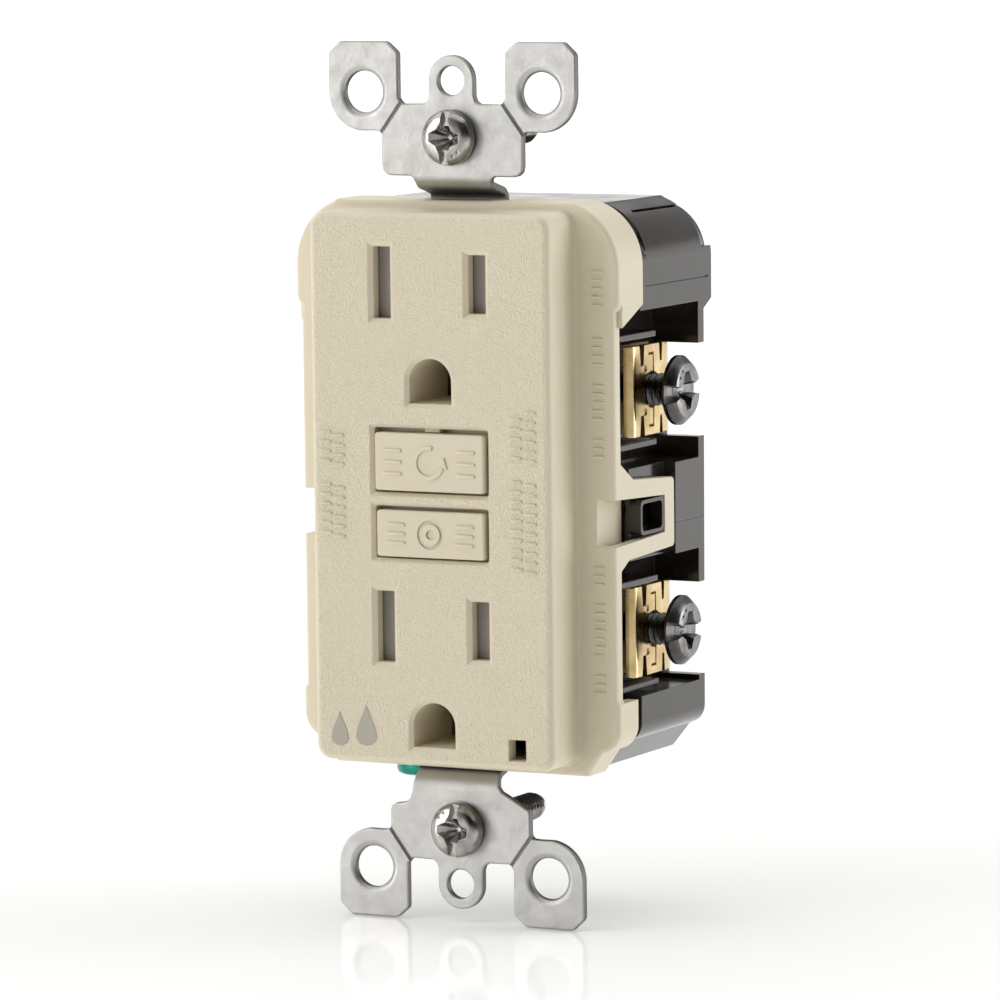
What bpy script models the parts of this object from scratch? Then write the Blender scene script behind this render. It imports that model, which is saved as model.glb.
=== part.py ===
"""A GFCI receptacle (ground-fault outlet) with its working parts, as separate named solids.

Frame: +X to the right seen from the front, the face looks along -Y, +Y goes into the wall, +Z is up.
The origin is the centre of the device on the front plane of the mounting strap.
Sizes below are in millimetres; every mesh is built in metres.
"""

import math

import bmesh
import bpy

MM = 0.001
GAP = 0.3  # clearance between neighbouring pieces

# Strap: the standard wall-box and wall-plate spacings drive it.
STRAP_T = 1.0
PLATE_SCREW_Z = 48.4  # tapped wall-plate holes are 96.8 apart
BOX_SCREW_Z = 41.65  # box screws are 83.3 apart
EAR_HOLE = (11.85, 47.0)
STRAP_END_Z = 53.05
STRAP_IN_Y = 4.2  # the strap steps back by this much before it enters the body

# Case
FACE_Y = -6.7
FACE_W, FACE_H = 16.0, 33.05  # half sizes of the raised face
FACE_WALL = 1.8
SIDE_WALL = 1.3
FLANGE_Y, FLANGE_BACK = 0.4, 2.0
SKIRT_TOP_Y, SKIRT_LOW_Y = 7.2, 5.5
SKIRT_WALL = 1.5
REAR_Y = 27.8  # rear of the centre and of the upper block
STEP_REAR_Y = 25.3  # rear of the sides below the upper block
HOUSING_WALL = 1.5
WELL_X = 14.9  # inner wall of the terminal wells
WELL_WALL = 1.5
UPPER_WELL = (1.9, 20.9)
LOWER_WELL = (-25.4, -9.2)
LOOP_X = (19.7, 21.0)

# Face openings
ROWS = (24.65, -16.6)  # blade slots of the upper and lower outlet
BLADE_X = 6.35  # blade slots are 12.7 apart
GROUND_DROP = 11.75
SHUTTER_TRAVEL = 3.0
RESET_Z, TEST_Z = 3.3, -5.3
RESET_FRONT, TEST_FRONT = -6.9, -6.8
LIGHT = (11.25, -30.6)

# Terminals
SCREW_Y = 14.6
TERMINAL_Z = (10.9, -18.1)
TERMINAL_X = (15.2, 16.2)
CLAMP_X = (18.2, 19.2)
HEAD_X = (22.4, 24.0)

# Inner layers
FRAME_Y = (11.8, 13.0)
BOARD_Y = (22.6, 24.2)
SOLENOID_Y = 17.9
GROUND_SCREW = (-9.0, 8.6)


# ---------------------------------------------------------------- helpers

def material(name, colour, roughness, metallic=0.0):
    made = bpy.data.materials.new(name)
    made.use_nodes = True
    shader = made.node_tree.nodes["Principled BSDF"]
    shader.inputs["Base Color"].default_value = (*colour, 1.0)
    shader.inputs["Roughness"].default_value = roughness
    shader.inputs["Metallic"].default_value = metallic
    return made


def new_object(name, mesh):
    obj = bpy.data.objects.new(name, mesh)
    bpy.context.scene.collection.objects.link(obj)
    return obj


def finish_mesh(name, bm, smooth=False):
    bmesh.ops.scale(bm, vec=(MM, MM, MM), verts=bm.verts)
    bmesh.ops.recalc_face_normals(bm, faces=bm.faces)
    mesh = bpy.data.meshes.new(name)
    bm.to_mesh(mesh)
    bm.free()
    if smooth:
        mesh.shade_smooth()
        mesh.set_sharp_from_angle(angle=math.radians(35))
    return new_object(name, mesh)


def place(axis, a, b, along):
    """A point from two in-plane values and one along the axis. In-plane order: X (y,z), Y (x,z), Z (x,y)."""
    if axis == "X":
        return (along, a, b)
    if axis == "Y":
        return (a, along, b)
    return (a, b, along)


def loft(name, loops, smooth=False):
    """A closed solid through loops of points, all with the same count, capped at both ends."""
    bm = bmesh.new()
    rings = [[bm.verts.new(point) for point in loop] for loop in loops]
    for low, high in zip(rings, rings[1:]):
        for i in range(len(low)):
            j = (i + 1) % len(low)
            bm.faces.new((low[i], low[j], high[j], high[i]))
    bm.faces.new(rings[0])
    bm.faces.new(rings[-1])
    return finish_mesh(name, bm, smooth)


def prism(name, points, axis, low, high):
    return loft(name, [[place(axis, a, b, at) for a, b in points] for at in (low, high)])


def box(name, x, y, z):
    corners = [(x[0], z[0]), (x[1], z[0]), (x[1], z[1]), (x[0], z[1])]
    return prism(name, corners, "Y", *y)


def circle(radius, sides, centre=(0.0, 0.0)):
    turn = 2 * math.pi / sides
    return [(centre[0] + radius * math.cos(i * turn), centre[1] + radius * math.sin(i * turn))
            for i in range(sides)]


def turned(name, axis, centre, profile, sides=16):
    """A round solid: profile is (radius, along) from one end to the other."""
    loops = [[place(axis, a, b, along) for a, b in circle(radius, sides, centre)]
             for radius, along in profile]
    return loft(name, loops, smooth=True)


def rod(name, axis, centre, radius, low, high, sides=16):
    return turned(name, axis, centre, [(radius, low), (radius, high)], sides)


def arc(centre, radius, start, end, steps):
    return [(centre[0] + radius * math.cos(math.radians(start + (end - start) * i / steps)),
             centre[1] + radius * math.sin(math.radians(start + (end - start) * i / steps)))
            for i in range(steps + 1)]


def rounded(half_w, half_h, radius, steps=3, centre=(0.0, 0.0)):
    points = []
    for sx, sz, start in ((1, 1, 0), (-1, 1, 90), (-1, -1, 180), (1, -1, 270)):
        corner = (centre[0] + sx * (half_w - radius), centre[1] + sz * (half_h - radius))
        points += arc(corner, radius, start, start + 90, steps)
    return points


def mirrored(right):
    """The right half of an outline, top to bottom, closed with its mirror image."""
    return right + [(-x, z) for x, z in reversed(right)]


def boolean(obj, operation, tools, group):
    """Joins or cuts obj with every tool at once; the tools stay in a collection of their own."""
    holder = bpy.data.collections.new(f"{obj.name}_{group}")
    bpy.context.scene.collection.children.link(holder)
    for tool in tools:
        bpy.context.scene.collection.objects.unlink(tool)
        holder.objects.link(tool)
        tool.hide_render = True
        tool.display_type = "WIRE"
    modifier = obj.modifiers.new(group, "BOOLEAN")
    modifier.operation = operation
    modifier.operand_type = "COLLECTION"
    modifier.collection = holder
    modifier.solver = "EXACT"
    return obj


def join(obj, *tools):
    return boolean(obj, "UNION", tools, f"join{len(obj.modifiers)}")


def cut(obj, *tools):
    return boolean(obj, "DIFFERENCE", tools, f"cut{len(obj.modifiers)}")


def paint(obj, finish):
    obj.data.materials.append(finish)
    return obj


def set_origin(obj, point):
    """Moves the object's origin to a point in millimetres and leaves its mesh where it is."""
    x, y, z = (value * MM for value in point)
    for vertex in obj.data.vertices:
        vertex.co.x -= x
        vertex.co.y -= y
        vertex.co.z -= z
    obj.location = (x, y, z)
    return obj


def coil(name, axis, centre, low, high, radius, wire, turns, finish):
    """A compression spring as one bent wire."""
    steps = turns * 10
    curve = bpy.data.curves.new(name, "CURVE")
    curve.dimensions = "3D"
    curve.bevel_depth = wire * MM / 2
    curve.bevel_resolution = 0
    curve.use_fill_caps = True
    spline = curve.splines.new("POLY")
    spline.points.add(steps)
    for i in range(steps + 1):
        angle = 2 * math.pi * i / 10
        along = low + wire / 2 + (high - low - wire) * i / steps
        point = place(axis, centre[0] + radius * math.cos(angle), centre[1] + radius * math.sin(angle), along)
        spline.points[i].co = (*(value * MM for value in point), 1.0)
    obj = new_object(name, curve)
    curve.materials.append(finish)
    return obj


# ---------------------------------------------------------------- outlines

def case_outline(inset=0.0, stepped=False):
    """Outline of the case seen from the front; the flange is stepped in beside the terminals."""
    right = [(16.0 - 0.6 * inset, 34.1 - inset)]
    right += arc((13.7, 26.3), 7.95 - inset, 74, 0, 6)[1:]
    if stepped:
        right += [(21.65, 22.2), (21.0, 21.2), (21.0, -25.1), (21.35, -25.6)]
    right += arc((18.4, -28.6), 2.95 - inset, 0, -80, 3)
    right += [(16.9 - 0.8 * inset, -34.4 + inset)]
    return mirrored(right)


def skirt_band(inset, top):
    """The right half of the skirt wall's line, above the upper wells or below the lower ones."""
    if top:
        return ([(16.0 - 0.6 * inset, 34.1 - inset)]
                + arc((13.7, 26.3), 7.95 - inset, 74, 0, 6)[1:] + [(21.65 - inset, 21.7)])
    return ([(21.35 - inset, -25.5)] + arc((18.4, -28.6), 2.95 - inset, 0, -80, 3)
            + [(16.9 - 0.8 * inset, -34.4 + inset)])


def skirt(name, top, depth):
    outer, inner = skirt_band(0.0, top), skirt_band(SKIRT_WALL, top)
    if top:  # both lines are made to run from the left side to the right side
        outer, inner = ([(-x, z) for x, z in reversed(line)] + line for line in (outer, inner))
    else:
        outer, inner = ([(-x, z) for x, z in line] + line[::-1] for line in (outer, inner))
    return prism(name, outer + inner[::-1], "Y", FLANGE_BACK - 0.6, depth)


def inside_outline(inset=0.0, deep=False):
    """Space inside the rear housing, narrowed between the terminal wells; the deep part is narrow to the bottom."""
    wall = HOUSING_WALL + inset
    narrow = WELL_X - WELL_WALL - inset
    middle = 18.0 - inset
    right = [(15.7 - 0.6 * wall, 33.6 - wall)]
    right += arc((13.3, 26.0), 7.8 - wall, 74, 0, 4)[1:]
    right += [(21.1 - wall, 22.4 + inset), (narrow, 22.4 + inset)]
    if deep:
        return mirrored(right + [(narrow, -33.9 + wall)])
    right += [(narrow, 0.7 - inset), (middle, 0.7 - inset),
              (middle, -8.0 + inset), (narrow, -8.0 + inset), (narrow, -26.6 - inset), (21.0 - wall, -26.6 - inset)]
    right += arc((18.0, -28.4), 3.0 - wall, 0, -80, 2)[1:]
    right += [(16.4 - 0.8 * wall, -33.9 + wall)]
    return mirrored(right)


# ---------------------------------------------------------------- case

def funnel(name, half_w, half_h, centre, flare=0.6, depth=0.5):
    """Cutter for a rectangular opening whose front edge is chamfered."""
    def loop(grow, y):
        return [(centre[0] + sx * (half_w + grow), y, centre[1] + sz * (half_h + grow))
                for sx, sz in ((1, 1), (-1, 1), (-1, -1), (1, -1))]
    return loft(name, [loop(flare + 0.1, FACE_Y - 0.1), loop(0, FACE_Y + depth), loop(0, FACE_Y + 4)])


def ground_cutter(name, row):
    """Cutter for the ground hole: round above, flat below, with a chamfered front edge."""
    z = row - GROUND_DROP

    def loop(grow, y):
        top = arc((0, z), 2.8 + grow, 0, 180, 8)
        return [(x, y, at) for x, at in top + [(-2.8 - grow, z - 2.6 - grow), (2.8 + grow, z - 2.6 - grow)]]
    return loft(name, [loop(0.5, FACE_Y - 0.1), loop(0, FACE_Y + 0.45), loop(0, FACE_Y + 4)])


def side_loop(side):
    """The snap loop that reaches back from the flange over the catch on the housing."""
    frame = [(1.2, 3.6), (5.6, 0.9), (16.8, 0.2), (16.8, -8.2), (4.3, -8.65), (1.2, -10.3)]
    low, high = sorted(side * x for x in LOOP_X)
    return prism(f"loop{side}", frame, "X", low, high)


def side_opening(side):
    hole = [(-1.0, -1.05), (14.1, -1.75), (14.1, -6.25), (-1.0, -6.85)]
    low, high = sorted(side * x for x in (18.6, 22.5))
    return prism(f"opening{side}", hole, "X", low, high)


def front_cover(ivory):
    cover = prism("front_cover", case_outline(stepped=True), "Y", FLANGE_Y, FLANGE_BACK)
    block = loft("face_block", [
        [(x, y, z) for x, z in rounded(FACE_W - inset, FACE_H - inset, 1.9 - inset)]
        for inset, y in ((0.95, FACE_Y), (0.35, FACE_Y + 0.22), (0.05, FACE_Y + 0.85), (0.0, 1.2))])
    gussets, walls = [], []
    for side in (1, -1):
        low, high = sorted(side * x for x in (20.15, 21.6))
        gussets.append(prism(f"gusset{side}", [(1.6, 19.3), (1.6, 22.3), (7.2, 22.3), (7.2, 21.7)], "X", low, high))
        walls.append(box(f"pocket{side}", sorted(side * x for x in (17.4, 18.6)), (1.6, 7.0), (-8.0, 0.2)))
    rails = [box(f"rail{row}{edge}", (-13.5, 13.5), (FACE_Y + 1.6, -2.9), (row + edge - 0.3, row + edge + 0.3))
             for row in ROWS for edge in (-6.1, 6.1)]
    join(cover, block, skirt("skirt_top", True, SKIRT_TOP_Y), skirt("skirt_low", False, SKIRT_LOW_Y))
    cavity = prism("cavity", rounded(FACE_W - SIDE_WALL, FACE_H - SIDE_WALL, 0.8, 1), "Y",
                   FACE_Y + FACE_WALL, FLANGE_BACK + 0.5)
    notches = [box("notch_top", (-5.7, 5.7), (3.8, 8.0), (31.5, 36.0)),
               box("notch_low", (-5.7, 5.7), (3.8, 8.0), (-36.0, -31.5))]
    cut(cover, cavity, *notches)
    join(cover, *gussets, *walls, *rails, side_loop(1), side_loop(-1))
    openings = [funnel("reset_hole", 7.6, 3.9, (0, 3.45)), funnel("test_hole", 7.55, 3.15, (0, -5.2)),
                funnel("light_hole", 1.1, 1.25, LIGHT, 0.1, 0.2)]
    for row in ROWS:
        openings += [funnel(f"wide_slot{row}", 1.15, 4.3, (-BLADE_X, row), 0.55),
                     funnel(f"narrow_slot{row}", 1.15, 3.5, (BLADE_X, row), 0.55),
                     ground_cutter(f"ground_hole{row}", row)]
    cut(cover, *openings, side_opening(1), side_opening(-1))
    return paint(cover, ivory)


def rear_housing(dark):
    housing = prism("rear_housing", case_outline(inset=0.5), "Y", SKIRT_TOP_Y + GAP, REAR_Y)
    low_front = box("low_front", (-19.5, 19.5), (SKIRT_LOW_Y + GAP, 8.0), (-33.9, -26.0))
    low_trim = prism("low_trim", case_outline(inset=0.5), "Y", 5.0, 9.0)
    boolean(low_front, "INTERSECT", [low_trim], "trim")
    join(housing, low_front)
    cut(housing, prism("inside", inside_outline(), "Y", 5.0, STEP_REAR_Y - 1.6),
        prism("inside_deep", inside_outline(deep=True), "Y", 20.0, REAR_Y - 1.6))
    wells = []
    for side in (1, -1):
        for index, (low, high) in enumerate((UPPER_WELL, LOWER_WELL)):
            notch = (4.4, 15.8) if index == 0 else (-24.8, -13.4)
            out = sorted((side * WELL_X, side * 23))
            wells += [box(f"well{side}{index}", out, (5.0, STEP_REAR_Y - 1.6), (low, high)),
                      box(f"wire_gap{side}{index}", out, (STEP_REAR_Y - 2.5, REAR_Y + 1), notch)]
        step = [(STEP_REAR_Y, -40.0), (STEP_REAR_Y, 19.9), (REAR_Y + 0.2, 21.35), (REAR_Y + 2, 21.35), (REAR_Y + 2, -40.0)]
        wells += [prism(f"rear_step{side}", step, "X", *sorted((side * WELL_X, side * 23))),
                  box(f"loop_seat{side}", sorted((side * 19.4, side * 23)), (5.0, 17.1), (-9.6, 2.3))]
    cut(housing, *wells)
    forward = []
    for side in (1, -1):
        wall_x = sorted((side * (WELL_X - WELL_WALL), side * WELL_X))
        for index, (low, high) in enumerate((UPPER_WELL, LOWER_WELL)):
            forward += [box(f"well_wall{side}{index}", wall_x, (FLANGE_BACK + GAP, 9.0), (low - 1.2, high + 1.2))]
            shelf_z = ((4.1, 4.9), (17.2, 18.0)) if index == 0 else ((-25.0, -24.2), (-12.4, -11.6))
            for place_z in shelf_z:
                forward.append(box(f"shelf{side}{place_z[0]}", sorted((side * (WELL_X - 0.5), side * 19.3)),
                                   (FLANGE_BACK + GAP, 15.5), place_z))
        catch = [(side * 19.0, 9.0), (side * 20.8, 13.3), (side * 20.8, 13.8), (side * 19.0, 13.8)]
        forward.append(prism(f"catch{side}", catch, "Z", -5.3, -2.4))
    join(housing, *forward)
    passages = [box("ground_gap", (-14.0, -4.2), (5.0, 13.4), (-36.0, -31.0))]
    for side in (1, -1):
        for z in TERMINAL_Z:
            passages += [rod(f"screw_way{side}{z}", "X", (SCREW_Y, z), 2.6, side * 13.0, side * 15.6, 12),
                         box(f"tab_way{side}{z}", sorted((side * 13.0, side * 15.6)), (9.6, 11.8), (z - 2.3, z + 2.3))]
    cut(housing, *passages)
    return paint(housing, dark)


def inner_frame(black):
    """Separator plate: contacts in front of it, the mechanism and the board behind it."""
    frame = prism("inner_frame", inside_outline(GAP), "Y", *FRAME_Y)
    posts = [rod(f"post{x}{z}", "Y", (x, z), 1.1, FRAME_Y[1] - 0.4, BOARD_Y[0] - GAP, 10)
             for x in (-12.0, 12.0) for z in (-6.2, 29.0)]
    ribs = [box(f"rib{x}{z}", (x - 0.5, x + 0.5), (2.0, FRAME_Y[0] + 0.4), (z - 1.2, z + 1.2))
            for x in (-11.6, 11.6) for z in (28.0, -24.0)]
    join(frame, *posts, *ribs)
    holes = [rod("rod_way", "Y", (0, RESET_Z), 2.0, 11, 14, 12),
             box("test_way", (4.4, 6.8), (11, 14), (TEST_Z - 1.2, TEST_Z + 1.2)),
             box("light_way", (LIGHT[0] - 1.3, LIGHT[0] + 1.3), (11, 14), (LIGHT[1] - 1.5, LIGHT[1] + 1.5))]
    holes += [box(f"contact_way{side}", sorted((side * 8.1, side * 10.9)), (11, 14), (RESET_Z - 1.5, RESET_Z + 1.5))
              for side in (1, -1)]
    return paint(cut(frame, *holes), black)


# ---------------------------------------------------------------- strap and its screws

def strap_end(name, up):
    """One end of the strap: two break-off ears, the wall-plate tongue and the box-screw plate."""
    ear_x, ear_z = EAR_HOLE
    shoulder = [(9.45, 37.0), (5.1, 37.0)] if up else [(9.45, 38.9), (5.1, 36.3)]
    right = [(0.0, PLATE_SCREW_Z + 3.05)]
    right += arc((0.0, PLATE_SCREW_Z), 3.05, 75, 0, 4) + [(3.05, 46.1), (3.6, 45.6), (6.9, 45.6), (7.45, 46.2)]
    right += [(7.45, 51.6), (8.9, STRAP_END_Z), (15.1, STRAP_END_Z), (16.55, 51.6)]
    right += [(ear_x + 4.7, ear_z)] + arc((ear_x, ear_z), 4.7, -15, -85, 4)
    right += [(9.9, 42.3), (9.45, 41.8)] + shoulder + [(5.1, 35.9)]
    outline = right + [(-x, z) for x, z in reversed(right[1:])]
    sign = 1 if up else -1
    plate = prism(name, [(x, sign * z) for x, z in outline], "Y", 0.0, STRAP_T)
    slot = [(x, y) for x, y in rounded(2.5, 1.95, 1.9, 3, (0, sign * BOX_SCREW_Z))]
    cut(plate, rod(f"{name}_tapped", "Y", (0, sign * PLATE_SCREW_Z), 1.75, -1, 2, 16),
        rod(f"{name}_ear_l", "Y", (-ear_x, sign * ear_z), 2.5, -1, 2, 20),
        rod(f"{name}_ear_r", "Y", (ear_x, sign * ear_z), 2.5, -1, 2, 20),
        prism(f"{name}_slot", slot, "Y", -1, 2))
    return plate


def strap_neck(name, sign):
    """The S-bend that takes the strap back into the body."""
    y, t = STRAP_IN_Y, STRAP_T
    bend = [(0, 38.0), (0, 36.7), (0.5, 36.0), (3.4, 35.5), (y, 34.9), (y, 33.0),
            (y + t, 33.0), (y + t, 35.4), (4.4, 36.4), (1.4, 36.9), (t, 37.4), (t, 38.0)]
    return prism(name, [(a, sign * b) for a, b in bend], "X", -5.1, 5.1)


def mounting_strap(steel):
    ground = [row - GROUND_DROP for row in ROWS]
    right = [(5.1, 33.6), (5.1, 31.0), (3.6, 30.0), (3.6, 18.6), (4.5, 17.6), (4.5, 8.2), (3.6, 7.2), (3.6, -23.0),
             (4.5, -24.0), (4.5, -30.4), (5.1, -31.4), (5.1, -33.6)]
    strap = prism("mounting_strap", mirrored(right), "Y", STRAP_IN_Y, STRAP_IN_Y + STRAP_T)
    tab_x = (GROUND_SCREW[0] - 3.8, GROUND_SCREW[0] + 3.8)
    join(strap, strap_end("end_top", True), strap_end("end_low", False),
         strap_neck("neck_top", 1), strap_neck("neck_low", -1),
         box("tab_root", (tab_x[0], 0.0), (STRAP_IN_Y, STRAP_IN_Y + STRAP_T), (-32.6, -30.6)),
         box("tab", tab_x, (STRAP_IN_Y, 12.2 - GAP * 2), (-32.6, -31.6)))
    cut(strap, rod("rod_hole", "Y", (0, RESET_Z), 1.6, 3, 6, 12),
        *[rod(f"pin_hole{z}", "Y", (0, z), 2.8, 3, 6, 16) for z in ground],
        rod("tab_hole", "Z", GROUND_SCREW, 2.1, -34, -30, 12))
    return paint(strap, steel)


def ground_contact(name, row, brass):
    """Sprung sleeve that grips the ground pin, split along its lower side."""
    z = row - GROUND_DROP
    sleeve = rod(name, "Y", (0, z), 3.2, STRAP_IN_Y + STRAP_T + GAP, 11.4, 16)
    cut(sleeve, rod(f"{name}_bore", "Y", (0, z), 2.5, 3, 14, 16),
        box(f"{name}_split", (-0.6, 0.6), (3, 14), (z - 5, z)))
    return paint(sleeve, brass)


def pan_screw(name, axis, centre, head, shank, head_r, shank_r, finish):
    """A pan-head screw with one slot; head and shank are (outer end, inner end) along the axis."""
    outer, inner = head
    step = (inner - outer) / 4
    profile = [(head_r * 0.72, outer), (head_r * 0.93, outer + step), (head_r, outer + 2 * step), (head_r, inner),
               (shank_r, inner), (shank_r, shank), (shank_r * 0.75, shank + math.copysign(0.5, shank - inner))]
    screw = turned(name, axis, centre, profile, 16)
    depth = math.copysign(0.7, inner - outer)
    span = sorted((outer - depth, outer + depth))
    if axis == "X":
        slot = box(f"{name}_slot", span, (centre[0] - 0.45, centre[0] + 0.45), (centre[1] - 6, centre[1] + 6))
    elif axis == "Y":
        slot = box(f"{name}_slot", (centre[0] - 0.45, centre[0] + 0.45), span, (centre[1] - 6, centre[1] + 6))
    else:
        slot = box(f"{name}_slot", (centre[0] - 0.45, centre[0] + 0.45), (centre[1] - 6, centre[1] + 6), span)
    cut(screw, slot)
    set_origin(screw, place(axis, *centre, inner))
    for tool in screw.modifiers[0].collection.objects:
        set_origin(tool, (0, 0, 0))
    return paint(screw, finish)


def retainer(name, z, fibre):
    """Fibre washer that keeps a box screw on the strap."""
    plate = box(name, (-4.0, 4.0), (STRAP_T + GAP, STRAP_T + GAP + 0.6), (z - 3.4, z + 3.4))
    cut(plate, rod(f"{name}_hole", "Y", (0, z), 2.0, 0, 4, 12))
    return paint(plate, fibre)


# ---------------------------------------------------------------- controls

def reset_button(ivory):
    button = box("reset_button", (-7.3, 7.3), (RESET_FRONT, -2.6), (-0.15, 6.8))
    join(button, box("reset_lip", (-8.2, 8.2), (-4.5, -3.3), (-0.8, 7.7)))
    set_origin(button, (0, RESET_FRONT, RESET_Z))
    for tool in button.modifiers[0].collection.objects:
        set_origin(tool, (0, 0, 0))
    return paint(button, ivory)


def test_button(ivory):
    button = box("test_button", (-7.2, 7.2), (TEST_FRONT, -2.6), (-8.1, -2.5))
    join(button, box("test_lip", (-8.1, 8.1), (-4.5, -3.3), (-8.7, -1.5)),
         box("test_leg", (4.9, 6.3), (-3.0, 12.9), (TEST_Z - 0.8, TEST_Z + 0.8)))
    set_origin(button, (0, TEST_FRONT, TEST_Z))
    return paint(button, ivory)


def reset_rod(steel):
    profile = [(1.4, -2.3), (1.4, -1.5), (1.0, -1.5), (1.0, 21.1), (1.6, 21.1), (1.6, 21.7)]
    return paint(turned("reset_rod", "Y", (0, RESET_Z), profile, 12), steel)


def test_leaf(brass):
    leaf = box("test_leaf", (4.2, 7.0), (13.3, 13.7), (-9.4, -3.6))
    return paint(set_origin(leaf, (5.6, 13.5, -9.4)), brass)


def shutter(name, row, grey):
    """Sliding guard behind the blade slots; its windows line up once it has moved to the left."""
    plate = box(name, (-9.4, 11.9), (-4.6, -3.2), (row - 5.5, row + 5.5))
    windows = [box(f"{name}_window{x}", (x + SHUTTER_TRAVEL - 1.3, x + SHUTTER_TRAVEL + 1.3), (-6, -2), (row - 4.5, row + 4.5))
               for x in (-BLADE_X, BLADE_X)]
    return paint(cut(plate, *windows), grey)


# ---------------------------------------------------------------- contacts and terminals

def face_contact(name, side, brass):
    """Load-side bus with a pair of blade grips for each outlet and the fixed contact for the moving arm."""
    def along_x(a, b):
        return sorted((side * a, side * b))
    bus = box(name, along_x(9.2, 10.0), (2.0, 10.6), (-22.0, 30.0))
    extra = [box(f"{name}_pad", along_x(8.6, 10.0), (10.0, 14.3), (RESET_Z - 1.0, RESET_Z + 1.0))]
    for row in ROWS:
        extra += [box(f"{name}_web{row}", along_x(4.8, 9.6), (9.8, 10.6), (row - 3.5, row + 3.5)),
                  box(f"{name}_in{row}", along_x(4.8, 5.4), (1.0, 10.2), (row - 3.5, row + 3.5)),
                  box(f"{name}_out{row}", along_x(7.3, 7.9), (1.0, 10.2), (row - 3.5, row + 3.5))]
    return paint(join(bus, *extra), brass)


def terminal(name, side, z, reach, brass):
    """Threaded terminal plate at the back of a well, with a tab through the wall."""
    plate = box(name, sorted(side * x for x in TERMINAL_X), (9.2, 20.2), (z - 5.4, z + 5.4))
    join(plate, box(f"{name}_tab", sorted((side * reach, side * 15.6)), (9.9, 11.5), (z - 2.0, z + 2.0)))
    cut(plate, rod(f"{name}_thread", "X", (SCREW_Y, z), 2.3, side * 14.9, side * 17, 12))
    return paint(plate, brass)


def clamp(name, side, z, brass):
    """Pressure plate that the terminal screw draws down on the wire, notched at its corners."""
    plate = box(name, sorted(side * x for x in CLAMP_X), (9.0, 20.2), (z - 5.5, z + 5.5))
    tools = [rod(f"{name}_hole", "X", (SCREW_Y, z), 2.3, side * 17.5, side * 19.5, 12)]
    for y in (11.4, 17.0):
        for end in (-1, 1):
            tools.append(box(f"{name}_notch{y}{end}", sorted((side * 17, side * 20)), (y, y + 0.8),
                             sorted((z + end * 3.4, z + end * 6))))
    cut(plate, *tools)
    set_origin(plate, (side * CLAMP_X[1], SCREW_Y, z))
    for tool in plate.modifiers[0].collection.objects:
        set_origin(tool, (0, 0, 0))
    return paint(plate, brass)


def contact_arm(name, side, copper):
    leaf = box(name, sorted((side * 8.4, side * 10.6)), (16.2, 16.8), (-9.6, 4.6))
    join(leaf, rod(f"{name}_pad", "Y", (side * 9.5, RESET_Z), 0.9, 15.5, 16.5, 10))
    set_origin(leaf, (side * 9.5, 16.5, -9.6))
    for tool in leaf.modifiers[0].collection.objects:
        set_origin(tool, (0, 0, 0))
    return paint(leaf, copper)


def line_conductor(name, side, copper):
    """Line wire that runs through both sensing coils to the moving contact arm."""
    route = [(1.2, 22.2, -18.5), (1.2, 13.9, -18.5), (2.2, 13.8, -17.0), (8.6, 14.0, -10.6), (9.5, 14.6, -9.8),
             (9.5, 15.8, -9.4)]
    curve = bpy.data.curves.new(name, "CURVE")
    curve.dimensions = "3D"
    curve.bevel_depth = 0.6 * MM
    curve.bevel_resolution = 1
    curve.use_fill_caps = True
    spline = curve.splines.new("POLY")
    spline.points.add(len(route) - 1)
    for point, (x, y, z) in zip(spline.points, route):
        point.co = (side * x * MM, y * MM, z * MM, 1.0)
    obj = new_object(name, curve)
    curve.materials.append(copper)
    return obj


# ---------------------------------------------------------------- trip mechanism and electronics

def solenoid_bobbin(nylon):
    profile = [(4.2, 11.4), (4.2, 12.2), (2.5, 12.2), (2.5, 23.8), (4.2, 23.8), (4.2, 24.6)]
    bobbin = turned("solenoid_bobbin", "Z", (0, SOLENOID_Y), profile, 16)
    return paint(cut(bobbin, rod("bobbin_bore", "Z", (0, SOLENOID_Y), 1.8, 10, 26, 16)), nylon)


def winding(name, axis, centre, inner, outer, low, high, finish):
    ring = rod(name, axis, centre, outer, low, high, 20)
    return paint(cut(ring, rod(f"{name}_bore", axis, centre, inner, low - 1, high + 1, 20)), finish)


def solenoid_plunger(steel):
    profile = [(1.5, 10.2), (1.5, 28.2), (2.3, 28.2), (2.3, 29.0)]
    return paint(turned("solenoid_plunger", "Z", (0, SOLENOID_Y), profile, 12), steel)


def latch_plate(steel):
    plate = box("latch_plate", (-2.8, 2.8), (20.0, 20.8), (-1.5, 9.9))
    join(plate, box("latch_tab", (-2.0, 2.0), (16.6, 20.4), (9.1, 9.9)))
    cut(plate, box("latch_slot", (-1.25, 1.25), (19, 22), (RESET_Z - 1.4, RESET_Z + 2.0)),
        rod("latch_hole", "Y", (0, RESET_Z + 2.0), 1.9, 19, 22, 12))
    return paint(plate, steel)


def contact_carriage(black):
    """Moulded crossbar that lifts both moving contact arms."""
    block = box("contact_carriage", (-4.4, 4.4), (16.4, 19.7), (-0.6, 7.0))
    join(block, box("carriage_wings", (-11.0, 11.0), (17.1, 19.0), (1.9, 4.7)))
    cut(block, rod("carriage_bore", "Y", (0, RESET_Z), 1.5, 15, 21, 12))
    return paint(block, black)


def transformer_cup(nylon):
    centre = (0, -18.5)
    cup = rod("transformer_cup", "Y", centre, 7.6, 14.8, 22.0, 20)
    channel = rod("cup_channel", "Y", centre, 7.0, 14.0, 21.4, 20)
    tube = rod("cup_tube", "Y", centre, 2.6, 14.8, 21.8, 16)
    cut(cup, channel)
    join(cup, tube)
    return paint(cut(cup, rod("cup_bore", "Y", centre, 2.1, 13, 23, 16)), nylon)


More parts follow.
